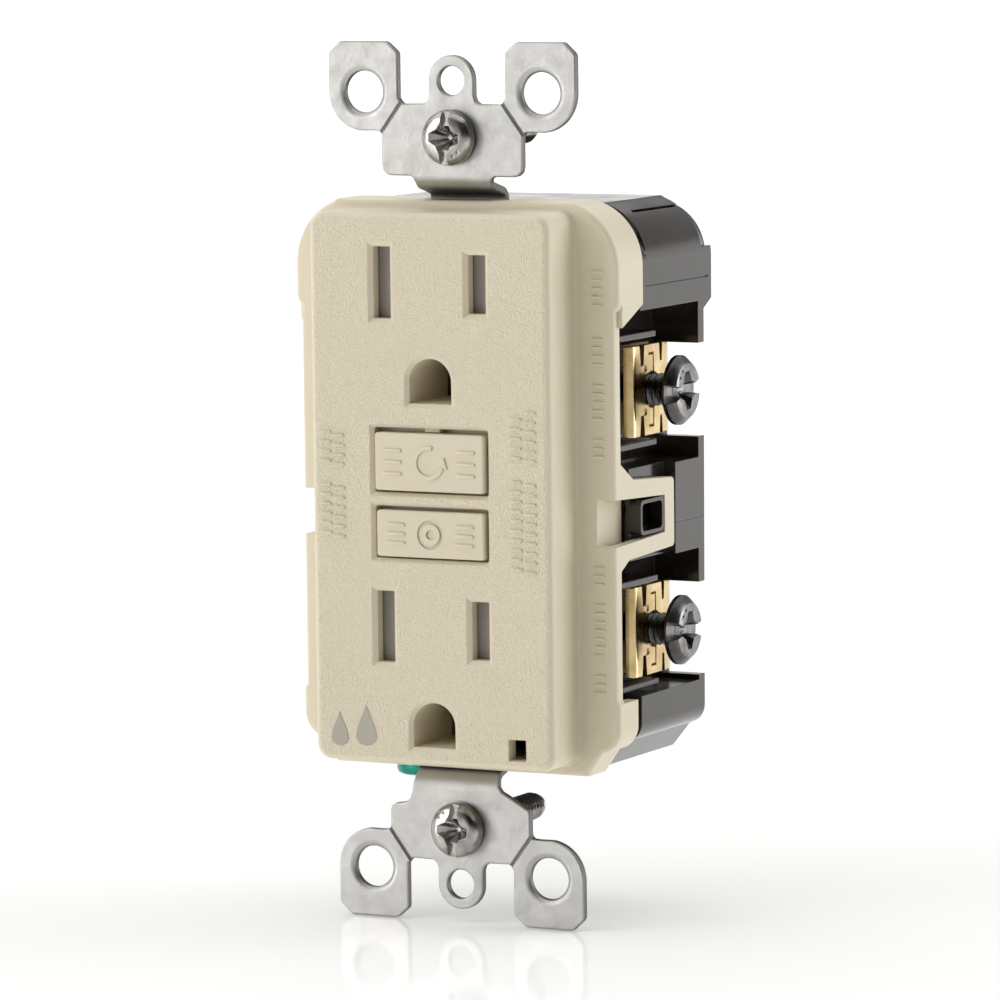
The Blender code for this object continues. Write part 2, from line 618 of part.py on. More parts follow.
def circuit_board(green):
    board = box("circuit_board", (-12.8, 12.8), BOARD_Y, (-31.5, 31.5))
    return paint(cut(board, rod("board_hole", "Y", (0, RESET_Z), 2.3, 22, 25, 12)), green)


def main():
    for obj in list(bpy.data.objects):
        bpy.data.objects.remove(obj, do_unlink=True)

    ivory = material("ivory_plastic", (0.73, 0.68, 0.55), 0.5)
    dark = material("smoke_plastic", (0.06, 0.052, 0.047), 0.25)
    black = material("black_plastic", (0.02, 0.02, 0.02), 0.5)
    grey = material("grey_plastic", (0.33, 0.31, 0.29), 0.5)
    nylon = material("natural_nylon", (0.75, 0.73, 0.66), 0.5)
    steel = material("zinc_plated_steel", (0.62, 0.61, 0.59), 0.35, 1.0)
    dark_steel = material("dark_screw_steel", (0.13, 0.12, 0.11), 0.3, 1.0)
    brass = material("brass", (0.72, 0.55, 0.27), 0.3, 1.0)
    copper = material("copper", (0.75, 0.38, 0.22), 0.35, 1.0)
    green = material("board_laminate", (0.03, 0.18, 0.08), 0.5)
    green_steel = material("green_screw", (0.01, 0.33, 0.26), 0.35, 0.6)
    fibre = material("fibre_washer", (0.35, 0.22, 0.12), 0.8)
    clear = material("clear_plastic", (0.8, 0.85, 0.85), 0.1)
    part_blue = material("component_blue", (0.05, 0.12, 0.4), 0.4)
    spring_steel = material("spring_steel", (0.5, 0.5, 0.5), 0.3, 1.0)

    front_cover(ivory)
    rear_housing(dark)
    inner_frame(black)
    mounting_strap(steel)
    ground_contact("ground_contact_upper", ROWS[0], brass)
    ground_contact("ground_contact_lower", ROWS[1], brass)
    for name, z in (("upper", BOX_SCREW_Z), ("lower", -BOX_SCREW_Z)):
        pan_screw(f"mounting_screw_{name}", "Y", (0, z), (-2.2, -GAP), 20.2, 3.35, 1.65, steel)
        retainer(f"screw_retainer_{name}", z, fibre)
    pan_screw("ground_screw", "Z", GROUND_SCREW, (-37.0, -35.2), -28.2, 3.8, 1.8, green_steel)

    reset_button(ivory)
    test_button(ivory)
    reset_rod(steel)
    coil("reset_spring", "Y", (0, RESET_Z), -2.3, STRAP_IN_Y - GAP, 2.1, 0.4, 5, spring_steel)
    test_leaf(brass)
    for name, row in zip(("upper", "lower"), ROWS):
        shutter(f"shutter_{name}", row, grey)
        coil(f"shutter_spring_{name}", "X", (-3.9, row), -14.4, -9.7, 0.6, 0.22, 5, spring_steel)

    face_contact("hot_face_contact", 1, brass)
    face_contact("neutral_face_contact", -1, brass)
    for place_name, z, reach in (("load", TERMINAL_Z[0], 10.3), ("line", TERMINAL_Z[1], 11.6)):
        for side, wire in ((1, "hot"), (-1, "neutral")):
            terminal(f"{place_name}_{wire}_terminal", side, z, reach, brass)
            clamp(f"{place_name}_{wire}_clamp", side, z, brass)
            pan_screw(f"{place_name}_{wire}_screw", "X", (SCREW_Y, z), (side * HEAD_X[1], side * HEAD_X[0]),
                      side * 15.5, 4.2, 2.0, dark_steel)
    for side, wire in ((1, "hot"), (-1, "neutral")):
        contact_arm(f"{wire}_contact_arm", side, copper)
        line_conductor(f"{wire}_line_conductor", side, copper)

    solenoid_bobbin(nylon)
    winding("solenoid_coil", "Z", (0, SOLENOID_Y), 2.8, 4.0, 12.5, 23.5, copper)
    solenoid_plunger(steel)
    coil("plunger_spring", "Z", (0, SOLENOID_Y), 24.9, 27.9, 1.95, 0.3, 4, spring_steel)
    latch_plate(steel)
    contact_carriage(black)
    transformer_cup(nylon)
    winding("sensing_coil", "Y", (0, -18.5), 3.0, 6.6, 15.0, 17.9, copper)
    winding("neutral_coil", "Y", (0, -18.5), 3.0, 6.6, 18.2, 21.1, copper)

    circuit_board(green)
    pipe = box("light_pipe", (LIGHT[0] - 0.8, LIGHT[0] + 0.8), (-6.3, 20.9), (LIGHT[1] - 0.95, LIGHT[1] + 0.95))
    paint(pipe, clear)
    paint(turned("indicator_led", "Y", LIGHT, [(0.5, 21.2), (0.9, 21.5), (0.9, 22.3)], 10), clear)
    paint(rod("varistor", "Y", (-8.6, 18.5), 3.2, 19.2, 22.3, 16), part_blue)
    paint(box("filter_capacitor", (5.6, 11.4), (17.4, 22.3), (21.6, 25.6)), part_blue)
    paint(box("trip_thyristor", (6.2, 10.6), (18.8, 22.3), (14.2, 16.8)), black)
    paint(box("sensing_chip", (-10.0, -6.0), (20.9, 22.3), (8.0, 13.0)), black)


main()
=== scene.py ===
"""Looks of the GFCI receptacle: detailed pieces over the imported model, studio, lights and camera.

Lengths in the geometry are millimetres until a piece is finished; the frame is the model's own:
+X right, the face looks along -Y, +Z up, origin on the front plane of the strap.
"""

import math

import bmesh
import bpy
from mathutils import Matrix, Vector


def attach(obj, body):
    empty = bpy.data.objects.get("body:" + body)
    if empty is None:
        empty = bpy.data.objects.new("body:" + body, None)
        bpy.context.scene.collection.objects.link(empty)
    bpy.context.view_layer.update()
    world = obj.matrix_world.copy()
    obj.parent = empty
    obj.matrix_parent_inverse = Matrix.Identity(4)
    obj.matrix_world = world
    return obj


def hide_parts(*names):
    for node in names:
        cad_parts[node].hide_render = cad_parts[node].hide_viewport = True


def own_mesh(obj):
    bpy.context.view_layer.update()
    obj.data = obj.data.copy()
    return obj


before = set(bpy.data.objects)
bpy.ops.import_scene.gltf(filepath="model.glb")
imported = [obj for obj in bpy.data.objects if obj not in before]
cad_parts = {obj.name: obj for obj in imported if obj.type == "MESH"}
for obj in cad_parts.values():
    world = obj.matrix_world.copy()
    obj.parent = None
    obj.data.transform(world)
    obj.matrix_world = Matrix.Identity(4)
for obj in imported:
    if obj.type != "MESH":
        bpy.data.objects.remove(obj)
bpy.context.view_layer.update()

MM = 0.001
STRAP_T = 1.0  # thickness of the strap's sheet
STRAP_IN_Y = 4.2  # front of the strap inside the case
PLATE_Z, BOX_Z = 48.4, 41.65  # wall-plate hole and box screw, from the middle
EAR = (11.85, 47.0)  # hole in each ear
END_Z = 53.05  # end of the strap
FACE_Y, FLANGE_Y = -6.7, 0.4  # fronts of the face and of the flange around it
FACE_W, FACE_H = 16.0, 33.05  # half sizes of the face
ROWS = (24.65, -16.6)  # heights of the two outlets' blade slots
BLADE_X, DROP = 6.35, 11.75  # blade slot from the middle; ground hole below the slots
REAR_Y, STEP_Y = 27.8, 25.3  # rear wall in the middle and behind the terminals
WELL_X, WELL_WALL = 14.9, 1.5  # floor of the terminal bays, and its thickness
WELLS = ((1.9, 20.9), (-25.4, -9.2))
WIRE_GAPS = ((4.4, 15.8), (-24.8, -13.4))
SHELVES = (((4.1, 4.9), (17.2, 18.0)), ((-25.0, -24.2), (-12.4, -11.6)))
CATCH = (10.7, -3.95)  # middle of the snap catch, y and z
RESET_Z, TEST_Z = 3.3, -5.3
RESET_Y, TEST_Y = -6.9, -6.8  # fronts of the keys
LIGHT = (11.25, -30.6)
SCREW_Y = 14.6
HEAD_X = 24.0  # outer faces of the terminal screws
TERMINAL_X = (15.2, 16.2)
TERMINAL_Z = {"load": 10.9, "line": -18.1}
TERMINAL_TURNS = {"load_hot": 4, "line_hot": -3, "load_neutral": 30, "line_neutral": -12}
GROUND_SCREW = (-9.0, 8.6)
PITCH = 0.794  # 32 threads to the inch


# ---- materials

class Tree:
    """Short ways to add shader nodes and to link them."""

    def __init__(self, tree):
        self.tree = tree

    def new(self, kind, **props):
        node = self.tree.nodes.new("ShaderNode" + kind)
        for key, value in props.items():
            setattr(node, key, value)
        return node

    def link(self, a, b):
        self.tree.links.new(a, b)

    def part(self, vector, letter):
        node = self.new("SeparateXYZ")
        self.link(vector, node.inputs[0])
        return node.outputs[letter]

    def ramp(self, value, low, high, out_low=0.0, out_high=1.0, **props):
        node = self.new("MapRange", **props)
        for key, at in (("From Min", low), ("From Max", high), ("To Min", out_low), ("To Max", out_high)):
            node.inputs[key].default_value = at
        self.link(value, node.inputs["Value"])
        return node.outputs["Result"]

    def math(self, operation, a, b=0.0):
        node = self.new("Math", operation=operation)
        for socket, value in zip(node.inputs, (a, b)):
            if isinstance(value, (int, float)):
                socket.default_value = value
            else:
                self.link(value, socket)
        return node.outputs[0]


class Nodes(Tree):
    """One node material around its Principled shader."""

    def __init__(self, name, colour, rough, metal=0.0, **values):
        self.mat = bpy.data.materials.new(name)
        self.mat.use_nodes = True
        super().__init__(self.mat.node_tree)
        self.shader = self.tree.nodes["Principled BSDF"]
        self.shader.inputs["Base Color"].default_value = (*colour, 1.0)
        self.shader.inputs["Roughness"].default_value = rough
        self.shader.inputs["Metallic"].default_value = metal
        for key, value in values.items():
            self.shader.inputs[key.replace("_", " ")].default_value = value
        self.coords = self.new("TexCoord").outputs["Object"]
        self.normal = None

    def facing(self, letter):
        """One part of the surface normal, from -1 to 1."""
        return self.part(self.new("NewGeometry").outputs["Normal"], letter)

    def noise(self, scale, detail=3.0, rough=0.55, stretch=None):
        source = self.coords
        if stretch:
            mapping = self.new("Mapping")
            mapping.inputs["Scale"].default_value = stretch
            self.link(self.coords, mapping.inputs["Vector"])
            source = mapping.outputs["Vector"]
        node = self.new("TexNoise")
        node.inputs["Scale"].default_value = scale
        node.inputs["Detail"].default_value = detail
        node.inputs["Roughness"].default_value = rough
        self.link(source, node.inputs["Vector"])
        return node.outputs["Fac"]

    def colour(self, factor, dark, light):
        node = self.new("Mix", data_type="RGBA")
        self.link(factor, node.inputs["Factor"])
        node.inputs["A"].default_value = (*dark, 1.0)
        node.inputs["B"].default_value = (*light, 1.0)
        self.link(node.outputs["Result"], self.shader.inputs["Base Color"])

    def roughness(self, value):
        self.link(value, self.shader.inputs["Roughness"])

    def gloss(self, scale, detail, low, high):
        """Roughness that wanders between two values."""
        self.roughness(self.ramp(self.noise(scale, detail), 0.3, 0.7, low, high))

    def soften(self, radius):
        """Rounds the sharp edges a little, as moulding and plating do."""
        node = self.new("Bevel", samples=6)
        node.inputs["Radius"].default_value = radius * MM
        self.normal = node.outputs["Normal"]
        self.link(self.normal, self.shader.inputs["Normal"])

    def bump(self, height, strength, distance):
        node = self.new("Bump")
        node.inputs["Strength"].default_value = strength
        node.inputs["Distance"].default_value = distance * MM
        self.link(height, node.inputs["Height"])
        if self.normal is not None:
            self.link(self.normal, node.inputs["Normal"])
        self.normal = node.outputs["Normal"]
        self.link(self.normal, self.shader.inputs["Normal"])


def ivory_plastic():
    m = Nodes("ivory_plastic_visual", (0.69, 0.62, 0.475), 0.42, Specular_IOR_Level=0.42, Subsurface_Weight=0.06,
              Subsurface_Scale=0.0012)
    m.shader.inputs["Subsurface Radius"].default_value = (1.0, 0.8, 0.5)
    m.soften(0.09)
    m.colour(m.noise(90.0, 4), (0.675, 0.606, 0.458), (0.705, 0.636, 0.49))
    front = m.ramp(m.facing("Y"), -0.97, -0.90, 1.0, 0.0)
    face = m.math("MULTIPLY", front, m.ramp(m.part(m.coords, "Y"), -0.0063, -0.0059, 1.0, 0.0))
    grain = m.ramp(m.noise(4300.0, 1.0, 0.4), 0.3, 0.7)
    grain = m.math("MULTIPLY", grain, m.math("ADD", m.math("MULTIPLY", face, 0.88), 0.12))
    m.bump(grain, 1.0, 0.095)
    m.roughness(m.math("ADD", m.math("MULTIPLY", face, 0.12), m.ramp(m.noise(260.0, 3), 0.3, 0.7, 0.33, 0.43)))
    return m.mat


def button_plastic():
    m = Nodes("button_plastic_visual", (0.66, 0.59, 0.45), 0.33, Specular_IOR_Level=0.45)
    m.soften(0.12)
    m.colour(m.noise(120.0, 4), (0.64, 0.572, 0.43), (0.67, 0.60, 0.458))
    m.bump(m.noise(900.0, 3), 0.15, 0.02)
    m.gloss(300.0, 3, 0.28, 0.38)
    return m.mat


def smoke_plastic():
    m = Nodes("smoke_plastic_visual", (0.03, 0.023, 0.018), 0.2, Specular_IOR_Level=0.55, Coat_Weight=0.25,
              Coat_Roughness=0.1)
    m.soften(0.12)
    m.colour(m.noise(45.0, 5), (0.010, 0.0075, 0.0055), (0.026, 0.020, 0.0155))
    m.bump(m.noise(160.0, 4), 0.25, 0.06)
    m.gloss(220.0, 4, 0.1, 0.24)
    return m.mat


def dull_plastic(name, dark, light, rough=0.5):
    m = Nodes(name, light, rough)
    m.soften(0.1)
    m.colour(m.noise(300.0, 4), dark, light)
    m.bump(m.noise(1800.0, 3), 0.3, 0.03)
    m.gloss(400.0, 3, rough - 0.08, rough + 0.08)
    return m.mat


def zinc_steel():
    m = Nodes("zinc_steel_visual", (0.72, 0.71, 0.69), 0.42, 0.9, Specular_IOR_Level=0.5)
    m.soften(0.1)
    cloud = m.ramp(m.noise(220.0, 6, 0.62), 0.3, 0.7, 0.8, 1.0)
    # painted shade: the base colour darkens wherever the sheet turns away from front and back, on rims, bends and
    # dishes
    turned_away_shade = m.ramp(m.math("ABSOLUTE", m.facing("Y")), 0.2, 0.78, 0.2, 1.0)
    m.colour(m.math("MULTIPLY", cloud, turned_away_shade), (0.06, 0.056, 0.052), (0.47, 0.464, 0.451))
    m.bump(m.math("ADD", m.noise(2200.0, 3), m.math("MULTIPLY", m.noise(300.0, 3), 0.7)), 0.5, 0.045)
    m.gloss(500.0, 5, 0.36, 0.52)
    return m.mat


def bright_steel():
    m = Nodes("bright_steel_visual", (0.62, 0.60, 0.58), 0.2, 1.0)
    m.soften(0.08)
    m.colour(m.ramp(m.noise(500.0, 5), 0.3, 0.7), (0.21, 0.2, 0.19), (0.5, 0.485, 0.465))
    m.bump(m.noise(900.0, 4), 0.3, 0.03)
    m.gloss(700.0, 4, 0.14, 0.3)
    return m.mat


def dark_steel():
    m = Nodes("dark_steel_visual", (0.16, 0.15, 0.15), 0.32, 1.0)
    m.soften(0.1)
    # painted shade: the head darkens wherever it turns away from its axis, on the cone, rim and recess walls; only the
    # end face keeps full colour
    off_face_shade = m.ramp(m.math("ABSOLUTE", m.facing("X")), 0.72, 0.97, 0.22, 1.0)
    m.colour(m.math("MULTIPLY", m.ramp(m.noise(650.0, 5), 0.3, 0.72, 0.35, 1.0), off_face_shade), (0.03, 0.028, 0.028),
             (0.33, 0.318, 0.31))
    m.bump(m.noise(1400.0, 4), 0.4, 0.03)
    m.gloss(500.0, 4, 0.2, 0.38)
    return m.mat


def metal(name, dark, light, rough, scale=420.0, bump=0.3, level=1.0):
    m = Nodes(name, light, rough, level)
    m.soften(0.1)
    m.colour(m.ramp(m.noise(scale, 5, 0.6), 0.32, 0.68), dark, light)
    m.bump(m.noise(scale * 2.2, 4), bump, 0.03)
    m.gloss(scale * 1.3, 4, max(rough - 0.1, 0.06), rough + 0.12)
    return m.mat


def board():
    m = Nodes("board_laminate_visual", (0.03, 0.17, 0.07), 0.35)
    weave = m.noise(900.0, 2, 0.4, (1.0, 1.0, 0.15))
    m.colour(m.ramp(weave, 0.46, 0.54), (0.015, 0.11, 0.045), (0.04, 0.20, 0.09))
    m.bump(weave, 0.3, 0.03)
    m.gloss(500.0, 3, 0.28, 0.42)
    return m.mat


def winding_copper():
    m = Nodes("winding_copper_visual", (0.72, 0.34, 0.16), 0.3, 1.0)
    wave = m.new("TexWave", wave_type="BANDS", bands_direction="DIAGONAL")
    wave.inputs["Scale"].default_value = 900.0
    m.link(m.coords, wave.inputs["Vector"])
    m.colour(wave.outputs["Fac"], (0.35, 0.13, 0.05), (0.80, 0.40, 0.20))
    m.bump(wave.outputs["Fac"], 0.6, 0.08)
    m.gloss(600.0, 3, 0.22, 0.38)
    return m.mat


def clear_plastic():
    m = Nodes("clear_plastic_visual", (0.9, 0.9, 0.86), 0.12, Transmission_Weight=0.6, IOR=1.49)
    m.colour(m.noise(200.0, 2), (0.86, 0.86, 0.8), (0.95, 0.95, 0.9))
    m.bump(m.noise(700.0, 2), 0.15, 0.02)
    return m.mat


IVORY = ivory_plastic()
BUTTON = button_plastic()
SMOKE = smoke_plastic()
ZINC = zinc_steel()
BRIGHT = bright_steel()
DARK_STEEL = dark_steel()
BRASS = metal("brass_visual", (0.50, 0.36, 0.16), (0.78, 0.61, 0.34), 0.22, 260.0, 0.3)
# darker copies of brass and nickel: painted shade for the terminal plates, which sit in the recesses behind the clamps
SHADED_BRASS = metal("shaded_brass_visual", (0.10, 0.062, 0.025), (0.26, 0.17, 0.075), 0.36)
SHADED_NICKEL = metal("shaded_nickel_visual", (0.16, 0.15, 0.13), (0.34, 0.32, 0.28), 0.36)
PALE_BRASS = metal("nickel_visual", (0.40, 0.38, 0.335), (0.66, 0.63, 0.57), 0.25)
COPPER = metal("copper_visual", (0.55, 0.25, 0.12), (0.85, 0.45, 0.26), 0.3)
SPRING = metal("spring_steel_visual", (0.35, 0.35, 0.35), (0.6, 0.6, 0.6), 0.28)
GREEN = metal("green_screw_visual", (0.0, 0.16, 0.12), (0.01, 0.36, 0.27), 0.3, 600.0, 0.3, 0.55)
BLACK = dull_plastic("black_plastic_visual", (0.012, 0.012, 0.012), (0.03, 0.03, 0.03))
GREY = dull_plastic("grey_plastic_visual", (0.26, 0.235, 0.21), (0.32, 0.29, 0.26))
NYLON = dull_plastic("natural_nylon_visual", (0.68, 0.66, 0.58), (0.78, 0.76, 0.69))
FIBRE = dull_plastic("fibre_visual", (0.28, 0.17, 0.09), (0.4, 0.26, 0.15), 0.75)
BLUE = dull_plastic("component_blue_visual", (0.03, 0.09, 0.32), (0.06, 0.14, 0.45), 0.35)
BOARD = board()
WINDING = winding_copper()
CLEAR = clear_plastic()
PRINT = dull_plastic("grey_print_visual", (0.36, 0.335, 0.27), (0.41, 0.385, 0.315), 0.5)


# ---- mesh helpers (millimetres)

def add_object(name, data):
    obj = bpy.data.objects.new(name, data)
    bpy.context.scene.collection.objects.link(obj)
    return obj


def from_bmesh(name, bm):
    bmesh.ops.recalc_face_normals(bm, faces=bm.faces)
    mesh = bpy.data.meshes.new(name)
    bm.to_mesh(mesh)
    bm.free()
    return add_object(name, mesh)


def place(axis, a, b, along):
    """A point from two in-plane values and one along the axis. In-plane order: X (y,z), Y (x,z), Z (x,y)."""
    return {"X": (along, a, b), "Y": (a, along, b), "Z": (a, b, along)}[axis]


def level(line, y):
    """An outline seen from the front, set at one depth."""
    return [(x, y, z) for x, z in line]


def span(side, inner, outer):
    """The range between two distances from the middle plane, on the side given by +1 or -1."""
    return sorted((side * inner, side * outer))


def loft(name, loops):
    bm = bmesh.new()
    rings = [[bm.verts.new(point) for point in loop] for loop in loops]
    for low, high in zip(rings, rings[1:]):
        for i in range(len(low)):
            j = (i + 1) % len(low)
            bm.faces.new((low[i], low[j], high[j], high[i]))
    bm.faces.new(rings[0])
    bm.faces.new(rings[-1])
    return from_bmesh(name, bm)


def inset_line(points, amount):
    """The closed outline moved inwards by amount, corners mitred."""
    if abs(amount) < 1e-9:
        return list(points)
    area = sum(a[0] * b[1] - b[0] * a[1] for a, b in zip(points, points[1:] + points[:1]))
    side = 1 if area > 0 else -1
    result = []
    count = len(points)
    for i in range(count):
        before = Vector(points[i]) - Vector(points[i - 1])
        after = Vector(points[(i + 1) % count]) - Vector(points[i])
        before.normalize()
        after.normalize()
        n1, n2 = Vector((-before.y, before.x)) * side, Vector((-after.y, after.x)) * side
        mid = n1 + n2
        if mid.length < 1e-6:
            mid = n1
        mid.normalize()
        scale = amount / max(0.35, mid.dot(n1))
        result.append((points[i][0] + mid.x * scale, points[i][1] + mid.y * scale))
    return result


def rim(inset, start, depth, steps):
    """Rows of a rounded rim: how far in from the outline, and where along the axis."""
    turns = [math.pi / 2 * i / steps for i in range(steps + 1)]
    return [(inset * (1 - math.sin(t)), start + depth * (1 - math.cos(t))) for t in turns]


def slab(name, points, axis, low, high, round_low=0.0, round_high=0.0, steps=4):
    """A prism whose ends can have rounded edges."""
    rows = rim(round_low, low, round_low, steps) if round_low else [(0.0, low)]
    rows += rim(round_high, high, -round_high, steps)[::-1] if round_high else [(0.0, high)]
    return loft(name, [[place(axis, a, b, at) for a, b in inset_line(points, inset)] for inset, at in rows])


def arc(centre, radius, start, end, steps):
    return [(centre[0] + radius * math.cos(math.radians(start + (end - start) * i / steps)),
             centre[1] + radius * math.sin(math.radians(start + (end - start) * i / steps)))
            for i in range(steps + 1)]


def rounded(half_w, half_h, radius, steps=6, centre=(0.0, 0.0)):
    points = []
    for sx, sz, start in ((1, 1, 0), (-1, 1, 90), (-1, -1, 180), (1, -1, 270)):
        corner = (centre[0] + sx * (half_w - radius), centre[1] + sz * (half_h - radius))
        points += arc(corner, radius, start, start + 90, steps)
    return points


def rectangle(x, z):
    return [(x[0], z[0]), (x[1], z[0]), (x[1], z[1]), (x[0], z[1])]


def block(name, x, y, z, corner=0.0, edge=0.0):
    """A box along Y; corner rounds its four long edges and edge rounds its front and back rims."""
    if corner:
        line = rounded((x[1] - x[0]) / 2, (z[1] - z[0]) / 2, corner, 4, ((x[0] + x[1]) / 2, (z[0] + z[1]) / 2))
    else:
        line = rectangle(x, z)
    return slab(name, line, "Y", y[0], y[1], edge, edge)


def ring(radius, sides, centre):
    return [(centre[0] + radius * math.cos(2 * math.pi * i / sides),
             centre[1] + radius * math.sin(2 * math.pi * i / sides)) for i in range(sides)]


def turned(name, axis, centre, profile, sides=48):
    return loft(name, [[place(axis, a, b, along) for a, b in ring(max(radius, 0.01), sides, centre)]
                       for radius, along in profile])


def rod(name, axis, centre, radius, low, high, sides=48):
    return turned(name, axis, centre, [(radius, low), (radius, high)], sides)


def evaluated_mesh(obj):
    depsgraph = bpy.context.evaluated_depsgraph_get()
    depsgraph.update()
    return bpy.data.meshes.new_from_object(obj.evaluated_get(depsgraph), preserve_all_data_layers=True,
                                           depsgraph=depsgraph)


def curve_mesh(lines, closed, **settings):
    """The mesh of a bevelled or filled curve through the given lines of points."""
    curve = bpy.data.curves.new("curve", "CURVE")
    for key, value in settings.items():
        setattr(curve, key, value)
    for points in lines:
        spline = curve.splines.new("POLY")
        spline.points.add(len(points) - 1)
        for target, point in zip(spline.points, points):
            target.co = (*point, 1.0)
        spline.use_cyclic_u = closed
    obj = add_object("curve", curve)
    mesh = bpy.data.meshes.new_from_object(obj.evaluated_get(bpy.context.evaluated_depsgraph_get()))
    bpy.data.objects.remove(obj)
    return mesh


def combine(obj, operation, tools):
    holder = bpy.data.collections.new("tools")
    bpy.context.scene.collection.children.link(holder)
    for tool in tools:
        bpy.context.scene.collection.objects.unlink(tool)
        holder.objects.link(tool)
    modifier = obj.modifiers.new("solid", "BOOLEAN")
    modifier.operation = operation
    modifier.operand_type = "COLLECTION"
    modifier.collection = holder
    modifier.solver = "EXACT"
    mesh = evaluated_mesh(obj)
    obj.modifiers.clear()
    old, obj.data = obj.data, mesh
    bpy.data.meshes.remove(old)
    for tool in tools:
        data = tool.data
        bpy.data.objects.remove(tool)
        bpy.data.meshes.remove(data)
    bpy.data.collections.remove(holder)
    return obj


def join(obj, *tools):
    return combine(obj, "UNION", tools)


def cut(obj, *tools):
    return combine(obj, "DIFFERENCE", tools)


def merge(name, *objects):
    """Puts several closed shells into one mesh."""
    bm = bmesh.new()
    for obj in objects:
        bm.from_mesh(obj.data)
    for obj in objects:
        data = obj.data
        bpy.data.objects.remove(obj)
        bpy.data.meshes.remove(data)
    return from_bmesh(name, bm)


def finish(obj, finish_material, body, *nodes, slot=None, angle=32.0, weighted=True):
    """Scales a piece to metres, cleans and shades it, and gives it to a body."""
    bm = bmesh.new()
    bm.from_mesh(obj.data)
    bmesh.ops.remove_doubles(bm, verts=bm.verts, dist=0.002)
    bmesh.ops.dissolve_degenerate(bm, edges=bm.edges, dist=0.001)
    bmesh.ops.scale(bm, vec=(MM, MM, MM), verts=bm.verts)
    bm.to_mesh(obj.data)
    bm.free()
    obj.data.materials.clear()
    obj.data.materials.append(finish_material)
    obj.data.shade_smooth()
    obj.data.set_sharp_from_angle(angle=math.radians(angle))
    if weighted:
        modifier = obj.modifiers.new("shading", "WEIGHTED_NORMAL")
        modifier.keep_sharp = True
        modifier.weight = 80
        mesh = evaluated_mesh(obj)
        obj.modifiers.clear()
        obj.data = mesh
    obj.data.name = obj.name
    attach(obj, body)
    if nodes:
        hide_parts(*nodes)
    return obj


# ---- outlines

def mirrored(right):
    return right + [(-x, z) for x, z in reversed(right)]


def case_top(inset):
    return [(16.0 - 0.6 * inset, 34.1 - inset)] + arc((13.7, 26.3), 7.95 - inset, 74, 0, 16)[1:]


def case_low(inset):
    return arc((18.4, -28.6), 2.95 - inset, 0, -80, 10) + [(16.9 - 0.8 * inset, -34.4 + inset)]


def case_outline(inset=0.0, stepped=False):
    steps = [(21.65, 22.2), (21.45, 21.55), (21.0, 21.2), (21.0, -25.1), (21.35, -25.6)] if stepped else []
    return mirrored(case_top(inset) + steps + case_low(inset))


def skirt(name, top, depth):
    """The cover's wall around the housing, over the top or under the bottom."""
    if top:
        lines = [case_top(inset) + [(21.65 - inset, 21.7)] for inset in (0.0, 1.5)]
        outer, inner = ([(-x, z) for x, z in reversed(line)] + line for line in lines)
    else:
        lines = [[(21.35 - inset, -25.5)] + case_low(inset) for inset in (0.0, 1.5)]
        outer, inner = ([(-x, z) for x, z in line] + line[::-1] for line in lines)
    return slab(name, outer + inner[::-1], "Y", 1.4, depth)


def inside_outline(deep=False):
    """The cavity of the rear housing; the deep part behind the terminal bays is narrow all the way down."""
    wall, narrow, middle = 1.5, WELL_X - WELL_WALL, 18.0
    right = [(15.7 - 0.6 * wall, 33.6 - wall)] + arc((13.3, 26.0), 7.8 - wall, 74, 0, 8)[1:]
    right += [(21.1 - wall, 22.4), (narrow, 22.4)]
    if deep:
        return mirrored(right + [(narrow, -33.9 + wall)])
    right += [(narrow, 0.7), (middle, 0.7), (middle, -8.0), (narrow, -8.0), (narrow, -26.6), (21.0 - wall, -26.6)]
    right += arc((18.0, -28.4), 3.0 - wall, 0, -80, 4)[1:]
    right += [(16.4 - 0.8 * wall, -33.9 + wall)]
    return mirrored(right)


# ---- front cover

def funnel(name, half_w, half_h, centre, flare, depth=0.5, corner=0.12):
    """Cuts a square opening whose rim flares towards the face."""
    rows = ((flare + 0.24, -0.2, corner + 0.05), (flare, 0.0, corner), (0, depth, corner), (0, 4, corner))
    return loft(name, [level(rounded(half_w + grow, half_h + grow, radius, 3, centre), FACE_Y + y)
                       for grow, y, radius in rows])


def ground_line(row, grow):
    z = row - DROP
    return arc((0, z), 2.8 + grow, 0, 180, 28) + [(-2.8 - grow, z - 2.6 - grow), (2.8 + grow, z - 2.6 - grow)]


def ground_cutter(row):
    rows = ((0.7, -0.2), (0.5, 0), (0, 0.45), (-0.15, 9), (-0.15, 11))
    return loft("ground_hole", [level(ground_line(row, grow), FACE_Y + y) for grow, y in rows])


def side_loop(side):
    frame_line = [(1.2, 3.6), (5.6, 0.9), (16.4, 0.22), (16.8, -0.2), (16.8, -7.8), (16.4, -8.2), (4.3, -8.65),
                  (1.2, -10.3)]
    low, high = span(side, 19.7, 21.0)
    return slab("loop", frame_line, "X", low, high, 0.15 if side < 0 else 0.0, 0.15 if side > 0 else 0.0, 2)


def side_opening(side):
    hole = [(-1.0, -1.05), (14.1, -1.75), (14.1, -6.25), (-1.0, -6.85)]
    return slab("opening", hole, "X", *span(side, 18.6, 22.5))


def ticks(x, z, groups, y, wide, step, height):
    """A column of small moulded tally strokes in groups, with a gap of one and a half strokes between them."""
    shapes = []
    for group in groups:
        for _ in range(group):
            line = rounded(wide / 2, 0.16, 0.12, 2, (x, z))
            shapes.append(slab("stroke", line, "Y", y - height, y + 0.12, 0.07, 0.0, 2))
            z -= step
        z -= 1.5 * step
    return shapes


def moulded_marks():
    shapes = []
    for x, z, groups in ((13.4, 9.7, (6, 10)), (11.5, 8.9, (5, 10)), (-14.0, 6.6, (4, 6)), (-12.2, 6.2, (4, 6))):
        shapes += ticks(x, z, groups, FACE_Y, 1.5, 1.15, 0.24)
    for z, groups in ((26.0, (5,)), (18.0, (4, 5, 3)), (-9.2, (3, 7, 3))):
        shapes += ticks(18.9, z, groups, FLANGE_Y, 1.4, 1.0, 0.16)
    marks = merge("moulded_marks", *shapes)
    return finish(marks, IVORY, "case", weighted=False)


